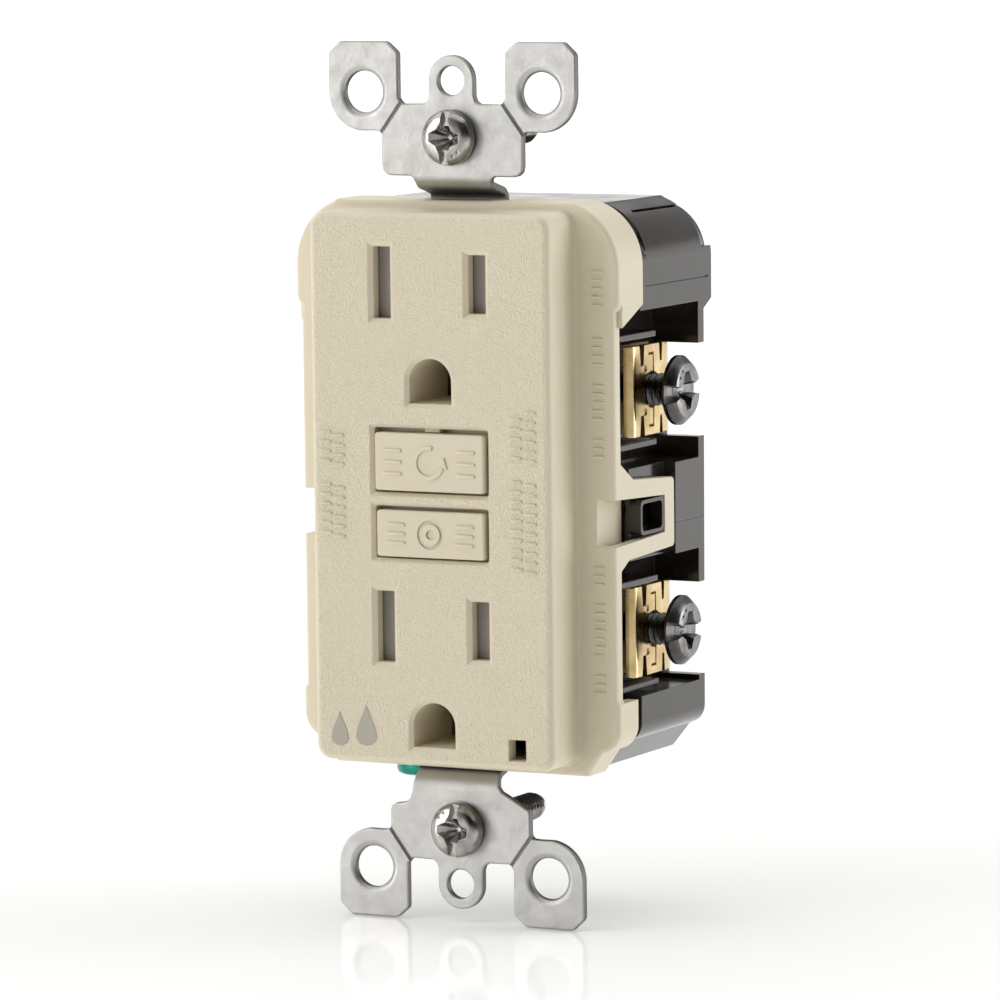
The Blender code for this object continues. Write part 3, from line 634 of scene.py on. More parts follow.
def front_cover():
    cover = slab("front_cover_visual", case_outline(stepped=True), "Y", FLANGE_Y, 2.0, 0.55, 0.0, 5)
    rows = rim(0.95, FACE_Y, 0.85, 8) + [(0.0, -0.1), (-0.07, 0.18), (-0.28, 0.4), (-0.45, 0.55), (-0.45, 1.2)]
    face = loft("face_block", [level(rounded(FACE_W - inset, FACE_H - inset, 1.9 - inset, 10), y) for inset, y in rows])
    gussets, walls = [], []
    for side in (1, -1):
        line = [(1.6, 19.3), (1.6, 22.3), (7.2, 22.3), (7.2, 21.7)]
        gussets.append(slab("gusset", line, "X", *span(side, 20.15, 21.6)))
        walls.append(block("pocket", span(side, 17.4, 18.6), (1.6, 7.0), (-8.0, 0.2)))
    rails = [block("rail", (-13.5, 13.5), (FACE_Y + 1.6, -2.9), (row + edge - 0.3, row + edge + 0.3))
             for row in ROWS for edge in (-6.1, 6.1)]
    join(cover, face, skirt("skirt_top", True, 7.2), skirt("skirt_low", False, 5.5))
    cavity = slab("cavity", rounded(FACE_W - 1.3, FACE_H - 1.3, 0.8, 2), "Y", FACE_Y + 1.8, 2.5)
    cut(cover, cavity, block("notch_top", (-5.7, 5.7), (3.8, 8.0), (31.5, 36.0)),
        block("notch_low", (-6.5, 5.4), (1.1, 8.0), (-36.0, -31.5)))
    tunnels = [slab("tunnel", ground_line(row, 0.75), "Y", FACE_Y + 1.0, 3.4) for row in ROWS]
    join(cover, *gussets, *walls, *rails, *tunnels, side_loop(1), side_loop(-1))
    openings = [funnel("reset_hole", 7.6, 3.9, (0, 3.45), 0.45, 0.5, 0.25),
                funnel("test_hole", 7.55, 3.15, (0, -5.2), 0.45, 0.5, 0.25),
                funnel("light_hole", 1.1, 1.25, LIGHT, 0.1, 0.2, 0.1)]
    for row in ROWS:
        openings += [funnel("wide_slot", 1.15, 4.3, (-BLADE_X, row), 0.55),
                     funnel("narrow_slot", 1.15, 3.5, (BLADE_X, row), 0.55), ground_cutter(row)]
    cut(cover, *openings, side_opening(1), side_opening(-1))
    join(cover, block("reset_rib", (-1.0, 1.0), (-5.9, -4.7), (6.88, 7.7), 0.0, 0.1))
    return finish(cover, IVORY, "case", "front_cover", slot="ivory_plastic")


def droplet(x, z, size):
    """A plain water-drop mark, printed on the face."""
    reach, sink, tip = size * math.cos(math.radians(20)), size * math.sin(math.radians(20)), size * 2.3
    flank = []
    for i in range(1, 9):
        t = i / 9
        flank.append((x + (reach + math.sin(math.pi * t) * size * 0.22) * (1 - t), z - sink + (tip + sink) * t))
    line = arc((x, z), size, 200, 340, 18) + flank + [(x, z + tip)] + [(2 * x - a, b) for a, b in reversed(flank)]
    return slab("drop", line, "Y", FACE_Y - 0.05, FACE_Y + 0.05)


def printed_mark():
    mark = merge("printed_drops", droplet(-12.6, -30.0, 1.25), droplet(-9.0, -29.6, 1.5))
    return finish(mark, PRINT, "case", weighted=False)


# ---- buttons

def pictogram_reset(centre, y):
    """A raised circular arrow."""
    outer, inner, end = 2.05, 1.55, 345

    def head(outwards, ahead):
        reach, turn = (outer + inner) / 2 + outwards, math.radians(end)
        return (centre[0] + reach * math.cos(turn) - ahead * math.sin(turn),
                centre[1] + reach * math.sin(turn) + ahead * math.cos(turn))

    lines = [arc(centre, outer, 75, end, 32) + arc(centre, inner, end, 75, 32),
             [head(0.8, 0.0), head(0.0, 1.25), head(-0.8, 0.0)]]
    return [slab("arrow", line, "Y", y - 0.2, y + 0.2, 0.06, 0, 2) for line in lines]


def pictogram_test(centre, y):
    """A raised dot in a ring."""
    hoop = rod("hoop", "Y", centre, 1.75, y - 0.2, y + 0.2, 48)
    cut(hoop, rod("hoop_in", "Y", centre, 1.3, y - 0.5, y + 0.1, 48))
    return [hoop, turned("dot", "Y", centre, [(0.45, y - 0.2), (0.55, y - 0.12), (0.55, y + 0.2)], 28)]


def side_bars(x_places, z_places, y):
    return [slab("bar", rounded(1.25, 0.2, 0.18, 3, (x, z)), "Y", y - 0.18, y + 0.2, 0.06, 0, 2)
            for x in x_places for z in z_places]


def button(name, half_w, low, high, front, behind, marks, body, node):
    centre, half_h = (0.0, (low + high) / 2), (high - low) / 2
    piece = loft(name, [level(rounded(half_w - inset, half_h - inset, 0.42 - inset, 4, centre), y)
                        for inset, y in rim(0.28, front, 0.28, 5) + [(0.0, -2.6)]])
    join(piece, *behind)
    join(piece, *marks)
    return finish(piece, BUTTON, body, node, slot="ivory_plastic")


def buttons():
    bars = side_bars((-4.9, 4.9), (1.9, 3.3, 4.7), RESET_Y)
    button("reset_button_visual", 7.3, -0.15, 6.8, RESET_Y,
           [block("reset_lip", (-8.2, 8.2), (-4.5, -3.3), (-0.8, 7.7))],
           pictogram_reset((0.0, RESET_Z), RESET_Y) + bars, "reset_button_assembly", "reset_button")
    bars = side_bars((-4.6, 4.6), (-6.4, -5.3, -4.2), TEST_Y)
    button("test_button_visual", 7.2, -8.1, -2.5, TEST_Y,
           [block("test_lip", (-8.1, 8.1), (-4.5, -3.3), (-8.7, -1.5)),
            block("test_leg", (4.9, 6.3), (-3.0, 12.9), (TEST_Z - 0.8, TEST_Z + 0.8))],
           pictogram_test((0.0, TEST_Z), TEST_Y) + bars, "test_button", "test_button")


# ---- rear housing

def rear_housing():
    outer, recessed = case_outline(inset=0.5), []
    for (x, z), (x2, z2) in zip(outer, case_outline(inset=1.3)):
        share = max(0.0, min(1.0, (z - 27.0) / 5.0))
        recessed.append((x + (x2 - x) * share, z + (z2 - z) * share))
    rear = [(inset_line(outer, 0.35 * (1 - math.cos(t))), REAR_Y - 0.35 * (1 - math.sin(t)))
            for t in (0.0, 0.5, 1.0, 1.5708)]
    housing = loft("rear_housing_visual", [level(line, y) for line, y in
                                           [(recessed, 7.5), (recessed, 9.3), (outer, 9.5)] + rear])
    low_front = block("low_front", (-19.5, 19.5), (5.8, 8.0), (-33.9, -26.0))
    combine(low_front, "INTERSECT", [slab("low_trim", case_outline(inset=0.5), "Y", 5.0, 9.0)])
    join(housing, low_front)
    cut(housing, slab("inside", inside_outline(), "Y", 5.0, STEP_Y - 1.6),
        slab("inside_deep", inside_outline(deep=True), "Y", 20.0, REAR_Y - 1.6))
    wells = []
    for side in (1, -1):
        out = span(side, WELL_X, 23)
        for well, notch in zip(WELLS, WIRE_GAPS):
            gap = rounded((out[1] - out[0]) / 2, (notch[1] - notch[0]) / 2, 1.1, 6, (sum(out) / 2, sum(notch) / 2))
            wells += [block("well", out, (5.0, STEP_Y - 1.6), well, 0.3),
                      slab("wire_gap", gap, "Y", STEP_Y - 2.5, REAR_Y + 1)]
        step = [(STEP_Y, -40.0), (STEP_Y, 19.9), (REAR_Y + 0.2, 21.35), (REAR_Y + 2, 21.35), (REAR_Y + 2, -40.0)]
        wells += [slab("rear_step", step, "X", *out),
                  block("loop_seat", span(side, 19.4, 23), (5.0, 17.1), (-9.6, 2.3), 0.2),
                  block("line", span(side, 20.95, 22), (9.0, 26.6), (23.71, 23.89))]
        normal, flat = (side * 0.57, 0.82), (side * -0.82, 0.57)
        slit = [(side * 17.95 + normal[0] * n + flat[0] * t, 32.43 + normal[1] * n + flat[1] * t)
                for n, t in ((1.2, 0.24), (1.2, -0.24), (-1.0, -0.24), (-1.0, 0.24))]
        wells += [slab("slit", slit, "Y", 12.0, 26.2),
                  block("pocket", span(side, 18.9, 19.6), (8.3, 13.3), (-5.55, -2.35), 0.7),
                  block("seam", span(side, 20.95, 22), (17.3, 25.0), (-5.45, -5.25))]
    crown = block("crown", (-26.0, 26.0), (24.9, REAR_Y + 1.5), (27.45, 40.0))
    cut(crown, loft("crown_in", [level(case_outline(inset), y) for inset, y in
                                 ((0.45, 24.5), (0.5, 24.9), (1.35, 26.4), (1.5, REAR_Y + 2.0))]))
    wells.append(slab("back_recess", rounded(9.6, 15.5, 1.0, 5, (0, -2.2)), "Y", REAR_Y - 0.3, REAR_Y + 1))
    wells += [rod("ejector", "Y", (x, z), 1.7, REAR_Y - 0.14, REAR_Y + 1)
              for x in (-9.4, 9.4) for z in (-28.6, 27.0)]
    cut(housing, *wells, crown)
    forward = []
    for side in (1, -1):
        for (low, high), shelves in zip(WELLS, SHELVES):
            forward.append(block("well_wall", span(side, WELL_X - WELL_WALL, WELL_X), (2.3, 9.0),
                                 (low - 1.2, high + 1.2)))
            forward += [block("shelf", span(side, WELL_X - 0.5, 19.3), (2.3, 15.5), z, 0.15) for z in shelves]
        catch = slab("catch", rounded(3.2, 2.1, 0.7, 5, CATCH), "X", *span(side, 18.7, 20.95))
        cut(catch, slab("catch_in", rounded(2.75, 1.65, 0.6, 5, CATCH), "X", *span(side, 18.95, 22.0)))
        forward.append(catch)
    join(housing, *forward)
    passages = [block("ground_gap", (-14.0, -4.2), (5.0, 13.4), (-36.0, -31.0))]
    for side in (1, -1):
        for z in TERMINAL_Z.values():
            passages += [rod("screw_way", "X", (SCREW_Y, z), 2.6, side * 13.0, side * 15.6, 32),
                         block("tab_way", span(side, 13.0, 15.6), (9.6, 11.8), (z - 2.3, z + 2.3))]
    cut(housing, *passages)
    return finish(housing, SMOKE, "case", "rear_housing", slot="smoke_plastic")


# ---- strap

JOG_ANGLE = math.radians(75.0)
JOG_START = 37.0
BEND_CUTS, BEND_STEP = 46, 0.18  # cross lines that let the flat sheet bend
STRAP_RIM = 0.22  # rounding of the sheet's rims
NECKS = {
    "square": [(9.45, 38.3), (9.3, 37.6), (8.8, 37.15), (8.2, 37.0), (5.7, 37.0), (5.3, 36.8), (5.1, 36.3),
               (5.1, 27.0)],
    "sloped": [(9.45, 39.3), (9.25, 38.85), (5.6, 36.85), (5.2, 36.3), (4.95, 35.0), (4.95, 27.0)],
    "stepped": [(9.45, 39.9), (9.3, 39.4), (8.7, 39.0), (7.4, 38.8), (6.8, 38.4), (6.5, 37.5), (6.3, 36.4), (6.1, 35.0),
                (6.1, 27.0)],
}


def jog_path(along, radius):
    """Centre line of the double bend, by the length along it: how far back, how far down, and the angle."""
    sine, cosine = math.sin(JOG_ANGLE), math.cos(JOG_ANGLE)
    straight = (STRAP_IN_Y - 2 * radius * (1 - cosine)) / sine
    first, second = radius * JOG_ANGLE, radius * JOG_ANGLE + straight
    if along <= first:
        t = along / radius
        return radius * (1 - math.cos(t)), radius * math.sin(t), t
    if along <= second:
        d = along - first
        return radius * (1 - cosine) + d * sine, radius * sine + d * cosine, JOG_ANGLE
    base = radius * sine + straight * cosine
    if along <= second + first:
        t = JOG_ANGLE - (along - second) / radius
        return STRAP_IN_Y - radius * (1 - math.cos(t)), base + radius * (sine - math.sin(t)), t
    return STRAP_IN_Y, base + radius * sine + along - second - first, 0.0


def strap_side(neck):
    """Half of one strap end seen from the front, from the tongue's tip round the ear to the neck."""
    right = arc((0.0, PLATE_Z), 3.05, 90, 6, 10)
    right += [(3.05, 46.6), (3.25, 46.0), (3.75, 45.65), (6.5, 45.6), (6.76, 45.8), (7.15, 46.3)]
    right += [(7.15, 51.55), (7.3, 51.85), (8.5, 52.9), (8.9, END_Z), (14.8, END_Z), (15.1, 52.95), (16.35, 51.8),
              (16.55, 51.4)]
    right += [(16.55, 46.9)] + arc(EAR, 4.7, -8, -84, 12)
    return right + [(10.6, 42.35), (9.85, 42.3), (9.55, 42.05), (9.45, 41.7)] + NECKS[neck]


def flat_strap(name, up, right_neck, left_neck, bend):
    """One end as flat sheet with rounded rims, made from a filled curve, then bent back at the neck."""
    outline = strap_side(right_neck) + [(-x, z) for x, z in reversed(strap_side(left_neck)[1:])]
    holes = [ring(1.75, 40, (0, PLATE_Z)), ring(2.5, 56, (-EAR[0], EAR[1])), ring(2.5, 56, EAR),
             rounded(2.5, 1.95, 1.9, 10, (0, BOX_Z))]
    mesh = curve_mesh([[(x, z, 0.0) for x, z in line] for line in [outline] + holes], True, dimensions="2D",
                      fill_mode="BOTH", extrude=STRAP_T / 2 - STRAP_RIM, bevel_depth=STRAP_RIM, bevel_resolution=4,
                      offset=-STRAP_RIM)
    bm = bmesh.new()
    bm.from_mesh(mesh)
    bpy.data.meshes.remove(mesh)
    bmesh.ops.remove_doubles(bm, verts=bm.verts, dist=0.0005)
    bmesh.ops.dissolve_limit(bm, angle_limit=math.radians(0.5), verts=bm.verts, edges=bm.edges)
    for i in range(BEND_CUTS):
        bmesh.ops.bisect_plane(bm, geom=bm.verts[:] + bm.edges[:] + bm.faces[:], dist=0.0001,
                               plane_co=(0, JOG_START - i * BEND_STEP, 0), plane_no=(0, 1, 0))
    for vert in bm.verts:
        x, z, depth = vert.co
        if z < JOG_START:
            back, drop, angle = jog_path(JOG_START - z, bend)
            vert.co = (x, STRAP_T / 2 + back + depth * math.cos(angle), JOG_START - drop + depth * math.sin(angle))
        else:
            vert.co = (x, STRAP_T / 2 + depth, z)
        if not up:
            vert.co.z = -vert.co.z
    return from_bmesh(name, bm)


def rim_dish(x, z, sign):
    """A shallow conical dish around an ear hole."""
    profile = [(3.4, -0.1)]
    for i in range(9):
        share = i / 8
        profile.append((3.25 - 0.78 * share, 0.004 + 0.55 * (1 - math.sqrt(1 - 0.97 * share * share))))
    return turned("dish", "Y", (x, sign * z), profile, 56)


def mounting_strap():
    strap = flat_strap("mounting_strap_visual", True, "square", "square", 1.2)
    low = flat_strap("strap_low", False, "sloped", "stepped", 2.4)
    middle = [(5.1, 32.5), (5.1, 31.0), (3.6, 30.0), (3.6, 18.6), (4.5, 17.6), (4.5, 8.2), (3.6, 7.2), (3.6, -23.0),
              (4.5, -24.0), (4.5, -30.4), (5.1, -31.4), (5.1, -32.5)]
    tab_x = (GROUND_SCREW[0] - 3.8, GROUND_SCREW[0] + 3.8)
    sheet = slab("middle", mirrored(middle), "Y", STRAP_IN_Y + 0.01, STRAP_IN_Y + STRAP_T - 0.01)
    join(sheet, block("tab_root", (tab_x[0], 0.0), (STRAP_IN_Y + 0.02, STRAP_IN_Y + STRAP_T - 0.02), (-32.6, -30.6)),
         block("tab", tab_x, (STRAP_IN_Y + 0.02, 11.6), (-32.6, -31.6), 0.3))
    cut(sheet, rod("rod_hole", "Y", (0, RESET_Z), 1.6, 3, 6, 32),
        *[rod("pin_hole", "Y", (0, row - DROP), 2.8, 3, 6, 40) for row in ROWS],
        rod("tab_hole", "Z", GROUND_SCREW, 2.1, -34, -30, 32))
    join(strap, low, sheet)
    tools = []
    for sign in (1, -1):
        for side in (1, -1):
            tools.append(rim_dish(side * EAR[0], EAR[1], sign))
            a, b = Vector((side * 6.55, sign * 46.1)), Vector((side * 9.8, sign * 41.7))
            along = (b - a).normalized()
            across = Vector((-along.y, along.x)) * 0.28
            tools.append(loft("score", [[(p.x + across.x * wide, y, p.y + across.y * wide)
                                         for p, wide in ((a, share), (a, -share), (b, -share), (b, share))]
                                        for y, share in ((-0.05, 1.0), (0.3, 0.1))]))
    cut(strap, *tools)
    bm = bmesh.new()
    bm.from_mesh(strap.data)
    bmesh.ops.dissolve_limit(bm, angle_limit=math.radians(0.3), verts=bm.verts, edges=bm.edges)
    bm.to_mesh(strap.data)
    bm.free()
    return finish(strap, ZINC, "case", "mounting_strap", slot="zinc_plated_steel", angle=28.0)


# ---- screws

def threaded(axis, centre, start, end, root, major, sides=28):
    """A threaded shank with a true helix, closed at both ends."""
    direction, length = (1 if end > start else -1), abs(end - start)
    shape = (0.0, 0.55, 1.0, 0.55)
    per = len(shape)
    rows = int(length / PITCH + 2) * per
    bm = bmesh.new()
    grid = []
    for j in range(-per, rows + 1):
        row = []
        for i in range(sides):
            along = (j / per + i / sides) * PITCH
            fade = max(0.0, min(1.0, along / PITCH, (length - along) / (1.6 * PITCH)))
            along = max(0.0, min(length, along))
            radius = root + (major - root) * shape[j % per] * fade
            if fade <= 0.0:
                radius = root if along < length / 2 else root * 0.86
            angle = 2 * math.pi * i / sides
            row.append(bm.verts.new(place(axis, centre[0] + radius * math.cos(angle),
                                          centre[1] + radius * math.sin(angle), start + direction * along)))
        grid.append(row)
    for j in range(len(grid) - 1):
        for i in range(sides - 1):
            bm.faces.new((grid[j][i], grid[j][i + 1], grid[j + 1][i + 1], grid[j + 1][i]))
    for j in range(len(grid) - 1 - per):
        bm.faces.new((grid[j][sides - 1], grid[j + per][0], grid[j + per + 1][0], grid[j + 1][sides - 1]))
    bmesh.ops.remove_doubles(bm, verts=bm.verts, dist=0.0004)
    bmesh.ops.dissolve_degenerate(bm, edges=bm.edges, dist=0.0003)
    open_edges = [edge for edge in bm.edges if edge.is_boundary]
    bmesh.ops.holes_fill(bm, edges=open_edges, sides=0)
    return from_bmesh("shank", bm)


def cross_tool(axis, centre, face, inward, reach, wing, corner, depth):
    """A Phillips recess: four tapered wings that flare into each other and meet in a blunt point."""
    loops = []
    for share, at in ((1.1, -0.25), (1.0, 0.0), (0.42, depth * 0.8), (0.15, depth)):
        line = []
        for quarter in range(4):
            turn = math.pi / 2 * quarter
            for a, b in ((reach, -wing), (reach, wing), (corner, corner)):
                line.append((share * (a * math.cos(turn) - b * math.sin(turn)),
                             share * (a * math.sin(turn) + b * math.cos(turn))))
        loops.append([place(axis, centre[0] + a, centre[1] + b, face + inward * at) for a, b in line])
    return loft("cross", loops)


def slot_tool(axis, centre, half_a, half_b, low, high):
    a, b = centre
    line = [(a + half_a, b + half_b), (a - half_a, b + half_b), (a - half_a, b - half_b), (a + half_a, b - half_b)]
    return slab("slot", line, axis, low, high)


def screw(node, axis, centre, profile, sides, tools, degrees, shank, material, slot):
    """A turned head, its recess turned by some degrees about the axis, and a threaded shank."""
    head = turned("head", axis, centre, profile, sides)
    pivot = Matrix.Translation(place(axis, *centre, 0.0))
    for tool in tools:
        tool.data.transform(pivot @ Matrix.Rotation(math.radians(degrees), 4, axis) @ pivot.inverted())
    cut(head, *tools)
    piece = merge(f"{node}_visual", head, threaded(axis, centre, *shank))
    return finish(piece, material, node, node, slot=slot, weighted=False)


def mounting_screw(node, z, degrees):
    centre = (0.0, z)
    profile = [(0.6, -2.2), (1.6, -2.18), (2.3, -2.1), (2.75, -1.95), (3.05, -1.7), (3.25, -1.35), (3.33, -1.0),
               (3.35, -0.5), (3.3, -0.34), (3.2, -0.3), (1.6, -0.3), (1.6, 0.4)]
    tools = [cross_tool("Y", centre, -2.2, 1, 2.05, 0.5, 0.98, 1.9), slot_tool("Y", centre, 0.5, 3.6, -2.6, -1.45)]
    tools += [turned("dot", "Y", (a, z - b), [(0.24, -2.4), (0.2, -1.9)], 16) for a, b in ((1.3, 2.1), (1.9, 1.5))]
    return screw(node, "Y", centre, profile, 64, tools, degrees, (0.2, 20.6, 1.3, 1.72), BRIGHT, "zinc_plated_steel")


def terminal_screw(node, side, z):
    centre, face = (SCREW_Y, z), side * HEAD_X
    profile = [(radius, face - side * deep) for radius, deep in (
        (3.25, 0.0), (3.35, 0.05), (4.08, 0.85), (4.2, 1.0), (4.2, 1.52), (4.1, 1.6), (1.9, 1.6), (1.9, 2.4))]
    tools = [cross_tool("X", centre, face, -side, 2.3, 0.55, 1.1, 1.5),
             slot_tool("X", centre, 4.6, 0.55, *span(side, 22.8, 24.5))]
    for end in (1, -1):
        tools.append(loft("mouth", [[place("X", SCREW_Y + end * a, z + b, face - side * deep) for a, b in
                                     ((1.7, 0.5), (1.7, -0.5), (4.6, -1.3), (4.6, 1.3))] for deep in (-0.5, 1.25)]))
    tools += [rod("dot", "X", (SCREW_Y - a, z + b), 0.2, face + side * 0.1, face - side * 0.12, 16)
              for a, b in ((1.25, 2.45), (1.95, 1.75))]
    return screw(node, "X", centre, profile, 72, tools, TERMINAL_TURNS[node.removesuffix("_screw")],
                 (face - side * 2.2, side * TERMINAL_X[0], 1.68, 2.0, 32), DARK_STEEL, "dark_screw_steel")


def ground_screw():
    profile = [(2.7, -36.5), (3.1, -36.43), (3.4, -36.22), (3.55, -35.85), (3.55, -35.1), (3.45, -34.95),
               (1.7, -34.95), (1.7, -34.3)]
    tools = [cross_tool("Z", GROUND_SCREW, -36.5, 1, 2.0, 0.45, 0.9, 1.4),
             slot_tool("Z", GROUND_SCREW, 4.2, 0.5, -37.0, -35.85)]
    return screw("ground_screw", "Z", GROUND_SCREW, profile, 64, tools, 0, (-34.6, -28.0, 1.5, 1.85), GREEN,
                 "green_screw")


# ---- clamps and terminal plates

def clamp(name, side, z, body_material, slot):
    """Pressure plate: front edge bent inwards, notched top and bottom, split towards the screw."""
    outer, thick, front, bend = 19.2, 0.8, 9.0, 1.15
    skin = [(outer - 0.55 * share * share, 17.8 + 2.4 * share) for share in (1.0, 0.75, 0.5, 0.25, 0.0)]
    skin += [(outer - bend + bend * math.cos(t), front + bend - bend * math.sin(t))
             for t in (math.pi / 2 * i / 8 for i in range(9))]
    back = [(outer - bend + (bend - thick) * math.cos(t), front + bend - (bend - thick) * math.sin(t))
             for t in (math.pi / 2 * i / 5 for i in range(5, -1, -1))]
    back += [(x - thick, y) for x, y in reversed(skin[:5])]
    outline = [(side * x, y) for x, y in skin + back]
    plate = slab(f"{name}_visual", outline, "Z", z - 5.5, z + 5.5, 0.15, 0.15, 2)
    tools = [rod("hole", "X", (SCREW_Y, z), 2.25, side * 17.0, side * 20.5, 40)]
    for end in (1, -1):
        for y, wide, deep in ((11.9, 1.45, 2.6), (17.1, 0.95, 2.3)):
            tip = 5.6 - deep
            line = [(y - wide / 2, z + end * 5.8), (y + wide / 2, z + end * 5.8), (y + wide * 0.28, z + end * tip),
                    (y - wide * 0.28, z + end * tip)]
            tools.append(slab("notch", line, "X", *span(side, 17.0, 20.5)))
        line = [(14.85, z + end * 1.8), (15.15, z + end * 1.8), (15.15, z + end * 4.5), (13.7, z + end * 4.5),
                (13.7, z + end * 4.2), (14.85, z + end * 4.2)]
        tools.append(slab("split", line, "X", *span(side, 18.8, 19.6)))
        foot = rounded(0.55, 0.4, 0.2, 4, (12.6, z + end * 2.6))
        tools.append(slab("dimple", foot, "X", *span(side, 19.05, 19.6)))
    cut(plate, *tools)
    return finish(plate, body_material, name, name, slot=slot)


def terminal(name, side, z, reach, body_material, slot):
    line = rounded(4.7, 5.4, 0.5, 4, (15.5, z))
    plate = slab(f"{name}_visual", line, "X", *span(side, *TERMINAL_X), 0.12, 0.12, 2)
    tab = block("tab", span(side, reach, 15.6), (9.9, 11.5), (z - 2.0, z + 2.0))
    join(plate, tab)
    cut(plate, rod("thread", "X", (SCREW_Y, z), 2.25, side * 14.9, side * 17, 40))
    return finish(plate, body_material, "case", name, slot=slot)


def ground_contact(name, row):
    z = row - DROP
    sleeve = turned(f"{name}_visual", "Y", (0, z), [(3.35, 5.5), (3.2, 5.9), (3.1, 7.6), (2.95, 9.4), (3.05, 11.4)], 56)
    cut(sleeve, turned("bore", "Y", (0, z), [(2.95, 5.0), (2.7, 5.8), (2.45, 9.0), (2.6, 12.5)], 56),
        block("split", (-0.5, 0.5), (3, 14), (z - 5, z)), block("split_x", (-5, 5), (7.0, 14), (z - 0.3, z + 0.3)))
    return finish(sleeve, BRASS, "case", name, slot="brass")


def light_pipe():
    line = rounded(0.8, 0.95, 0.18, 4, LIGHT)
    pipe = slab("light_pipe_visual", line, "Y", -3.2, 20.9, 0.3, 0.1, 3)
    return finish(pipe, CLEAR, "case", "light_pipe", slot="clear_plastic")


# ---- springs

def coil(node, axis, centre, fixed, free, radius, wire, turns):
    """A compression spring with closed end turns, wound from its fixed end towards its free end."""
    total, way = abs(free - fixed), (1 if free > fixed else -1)
    line = []
    for i in range(turns * 24 + 1):
        turn = i / 24
        rise = min(turn, 1.0) * wire + max(0.0, min(turn - 1, turns - 2)) / (turns - 2) * (total - 3 * wire)
        rise += max(0.0, turn - (turns - 1)) * wire
        angle = 2 * math.pi * turn
        line.append(place(axis, centre[0] + radius * math.cos(angle), centre[1] + radius * math.sin(angle),
                          fixed + way * (wire / 2 + rise)))
    mesh = curve_mesh([line], False, dimensions="3D", bevel_depth=wire / 2, bevel_resolution=2, use_fill_caps=True)
    spring = finish(add_object(f"{node}_visual", mesh), SPRING, "case", node, slot="spring_steel", weighted=False)
    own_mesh(spring)


def springs():
    coil("reset_spring", "Y", (0.0, RESET_Z), STRAP_IN_Y - 0.3, -2.3, 2.1, 0.4, 5)
    coil("plunger_spring", "Z", (0.0, 17.9), 24.9, 27.9, 1.95, 0.3, 4)
    for level, row in zip(("upper", "lower"), ROWS):
        coil(f"shutter_spring_{level}", "X", (-3.9, row), -14.4, -9.7, 0.6, 0.22, 5)


# ---- build

front_cover()
moulded_marks()
printed_mark()
buttons()
rear_housing()
mounting_strap()
mounting_screw("mounting_screw_upper", BOX_Z, 3)
mounting_screw("mounting_screw_lower", -BOX_Z, -176)
for end, at_z in TERMINAL_Z.items():
    for wire, way, clean, shaded_metal, plate_slot in (("hot", 1, BRASS, SHADED_BRASS, "brass"),
                                               ("neutral", -1, PALE_BRASS, SHADED_NICKEL, "nickel_plate")):
        # the terminal plates take the darker copy of the metal as painted shade; the clamps take the ordinary one
        terminal(f"{end}_{wire}_terminal", way, at_z, 10.3 if end == "load" else 11.6, shaded_metal, plate_slot)
        clamp(f"{end}_{wire}_clamp", way, at_z, clean, plate_slot)
        terminal_screw(f"{end}_{wire}_screw", way, at_z)
ground_screw()
ground_contact("ground_contact_upper", ROWS[0])
ground_contact("ground_contact_lower", ROWS[1])
light_pipe()
springs()

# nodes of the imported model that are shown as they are, by material
KEPT = (
    (BOARD, "circuit_board"), (BLACK, "contact_carriage inner_frame sensing_chip trip_thyristor"),
    (BLUE, "filter_capacitor varistor"), (BRASS, "hot_face_contact neutral_face_contact test_leaf"),
    (COPPER, "hot_contact_arm hot_line_conductor neutral_contact_arm neutral_line_conductor"),
    (CLEAR, "indicator_led"), (SPRING, "latch_plate"), (WINDING, "neutral_coil sensing_coil solenoid_coil"),
    (BRIGHT, "reset_rod solenoid_plunger"), (FIBRE, "screw_retainer_lower screw_retainer_upper"),
    (GREY, "shutter_lower shutter_upper"), (NYLON, "solenoid_bobbin transformer_cup"),
)
for node_material, node_names in KEPT:
    for node_name in node_names.split():
        node_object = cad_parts[node_name]
        if len(node_object.material_slots) == 0:
            node_object.data.materials.append(node_material)
        for material_slot in node_object.material_slots:
            material_slot.material = node_material


# ---- floor, lights, camera

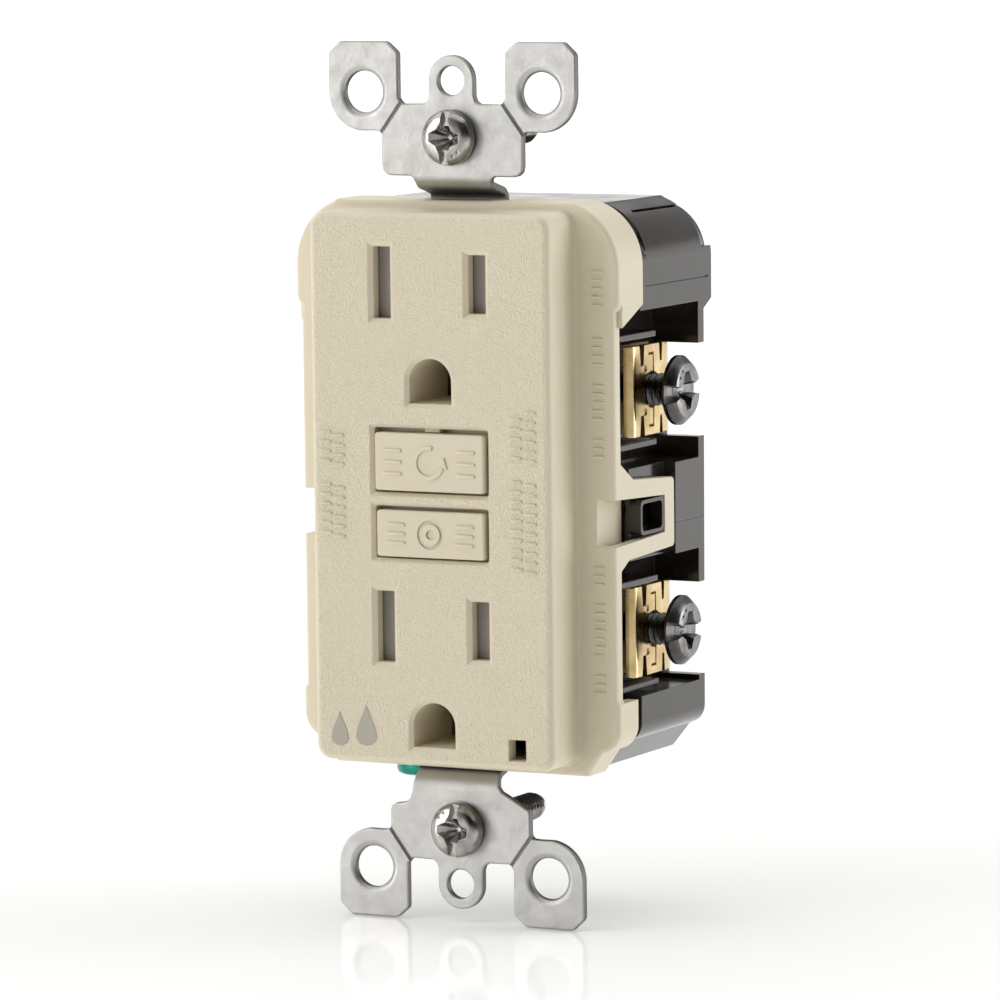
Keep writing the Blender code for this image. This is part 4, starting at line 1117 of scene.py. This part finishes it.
def studio():
    """A white floor, and a world that is brightest at the horizon, with a dark flag to the front and right."""
    count, size = 8, 40.0
    bm = bmesh.new()
    grid = [[bm.verts.new((size * (i / count - 0.5), size * (j / count - 0.5), -END_Z * MM - 0.0001))
             for j in range(count + 1)] for i in range(count + 1)]
    for i in range(count):
        for j in range(count):
            bm.faces.new((grid[i][j], grid[i + 1][j], grid[i + 1][j + 1], grid[i][j + 1]))
    floor = from_bmesh("floor", bm)
    m = Nodes("floor_visual", (0.94, 0.94, 0.93), 0.09, Specular_IOR_Level=0.5)
    m.colour(m.noise(3.0, 2), (0.95, 0.95, 0.94), (0.96, 0.96, 0.95))
    m.shader.inputs["Emission Color"].default_value = (1.0, 1.0, 0.99, 1.0)
    m.shader.inputs["Emission Strength"].default_value = 0.16
    floor.data.materials.append(m.mat)

    world = bpy.data.worlds.new("studio")
    bpy.context.scene.world = world
    world.use_nodes = True
    sky = Tree(world.node_tree)
    background = sky.tree.nodes["Background"]
    way = sky.new("TexCoord").outputs["Generated"]
    # bright band along the horizon, dimmer above and below
    glow = sky.ramp(sky.math("ABSOLUTE", sky.part(way, "Z")), 0.04, 0.20, 1.1, 0.36, interpolation_type="SMOOTHSTEP")
    # dark flag
    flag = sky.new("VectorMath", operation="DOT_PRODUCT")
    flag.inputs[1].default_value = (0.82, -0.55, 0.1)
    sky.link(way, flag.inputs[0])
    shade = sky.ramp(flag.outputs["Value"], 0.25, 0.80, 1.0, 0.05, interpolation_type="SMOOTHSTEP")
    sky.link(sky.math("MULTIPLY", glow, shade), background.inputs["Strength"])
    background.inputs["Color"].default_value = (1.0, 0.995, 0.985, 1.0)


def area_light(name, at, target, size, power, colour):
    data = bpy.data.lights.new(name, "AREA")
    data.shape = "RECTANGLE"
    data.size, data.size_y = size
    data.energy, data.color = power, colour
    light = add_object(name, data)
    light.location = at
    light.rotation_euler = (Vector(target) - Vector(at)).to_track_quat("-Z", "Y").to_euler()


def sun_light(name, direction, strength, angle):
    data = bpy.data.lights.new(name, "SUN")
    data.energy, data.angle = strength, math.radians(angle)
    add_object(name, data).rotation_euler = (-Vector(direction)).to_track_quat("-Z", "Y").to_euler()


def camera():
    azimuth, elevation, roll = (math.radians(angle) for angle in (27.38, 6.035, -0.711))
    flat = math.cos(elevation)
    back = Vector((math.sin(azimuth) * flat, -math.cos(azimuth) * flat, math.sin(elevation)))
    level_x = (-back).cross(Vector((0, 0, 1))).normalized()
    level_y = level_x.cross(-back)
    right = math.cos(roll) * level_x + math.sin(roll) * level_y
    up = -math.sin(roll) * level_x + math.cos(roll) * level_y
    data = bpy.data.cameras.new("camera")
    data.sensor_width, data.lens = 36.0, 226.06
    data.shift_x, data.shift_y = 0.0443, -0.0148
    data.clip_start, data.clip_end = 0.01, 20.0
    cam = add_object("camera", data)
    matrix = Matrix((right, up, back)).transposed().to_4x4()
    matrix.translation = back * 0.7523
    cam.matrix_world = matrix
    bpy.context.scene.camera = cam


studio()
sun_light("overhead", (-0.3, 0.15, 1.0), 2.35, 110.0)
area_light("key", (-0.66, -0.72, 0.16), (0, 0, 0), (0.42, 0.7), 3.8, (1.0, 0.985, 0.96))
area_light("side", (0.62, 0.42, 0.16), (0, 0.01, 0), (0.42, 0.75), 3.3, (0.98, 0.99, 1.0))
camera()
bpy.context.scene.view_settings.view_transform = "Standard"
bpy.context.scene.view_settings.look = "None"
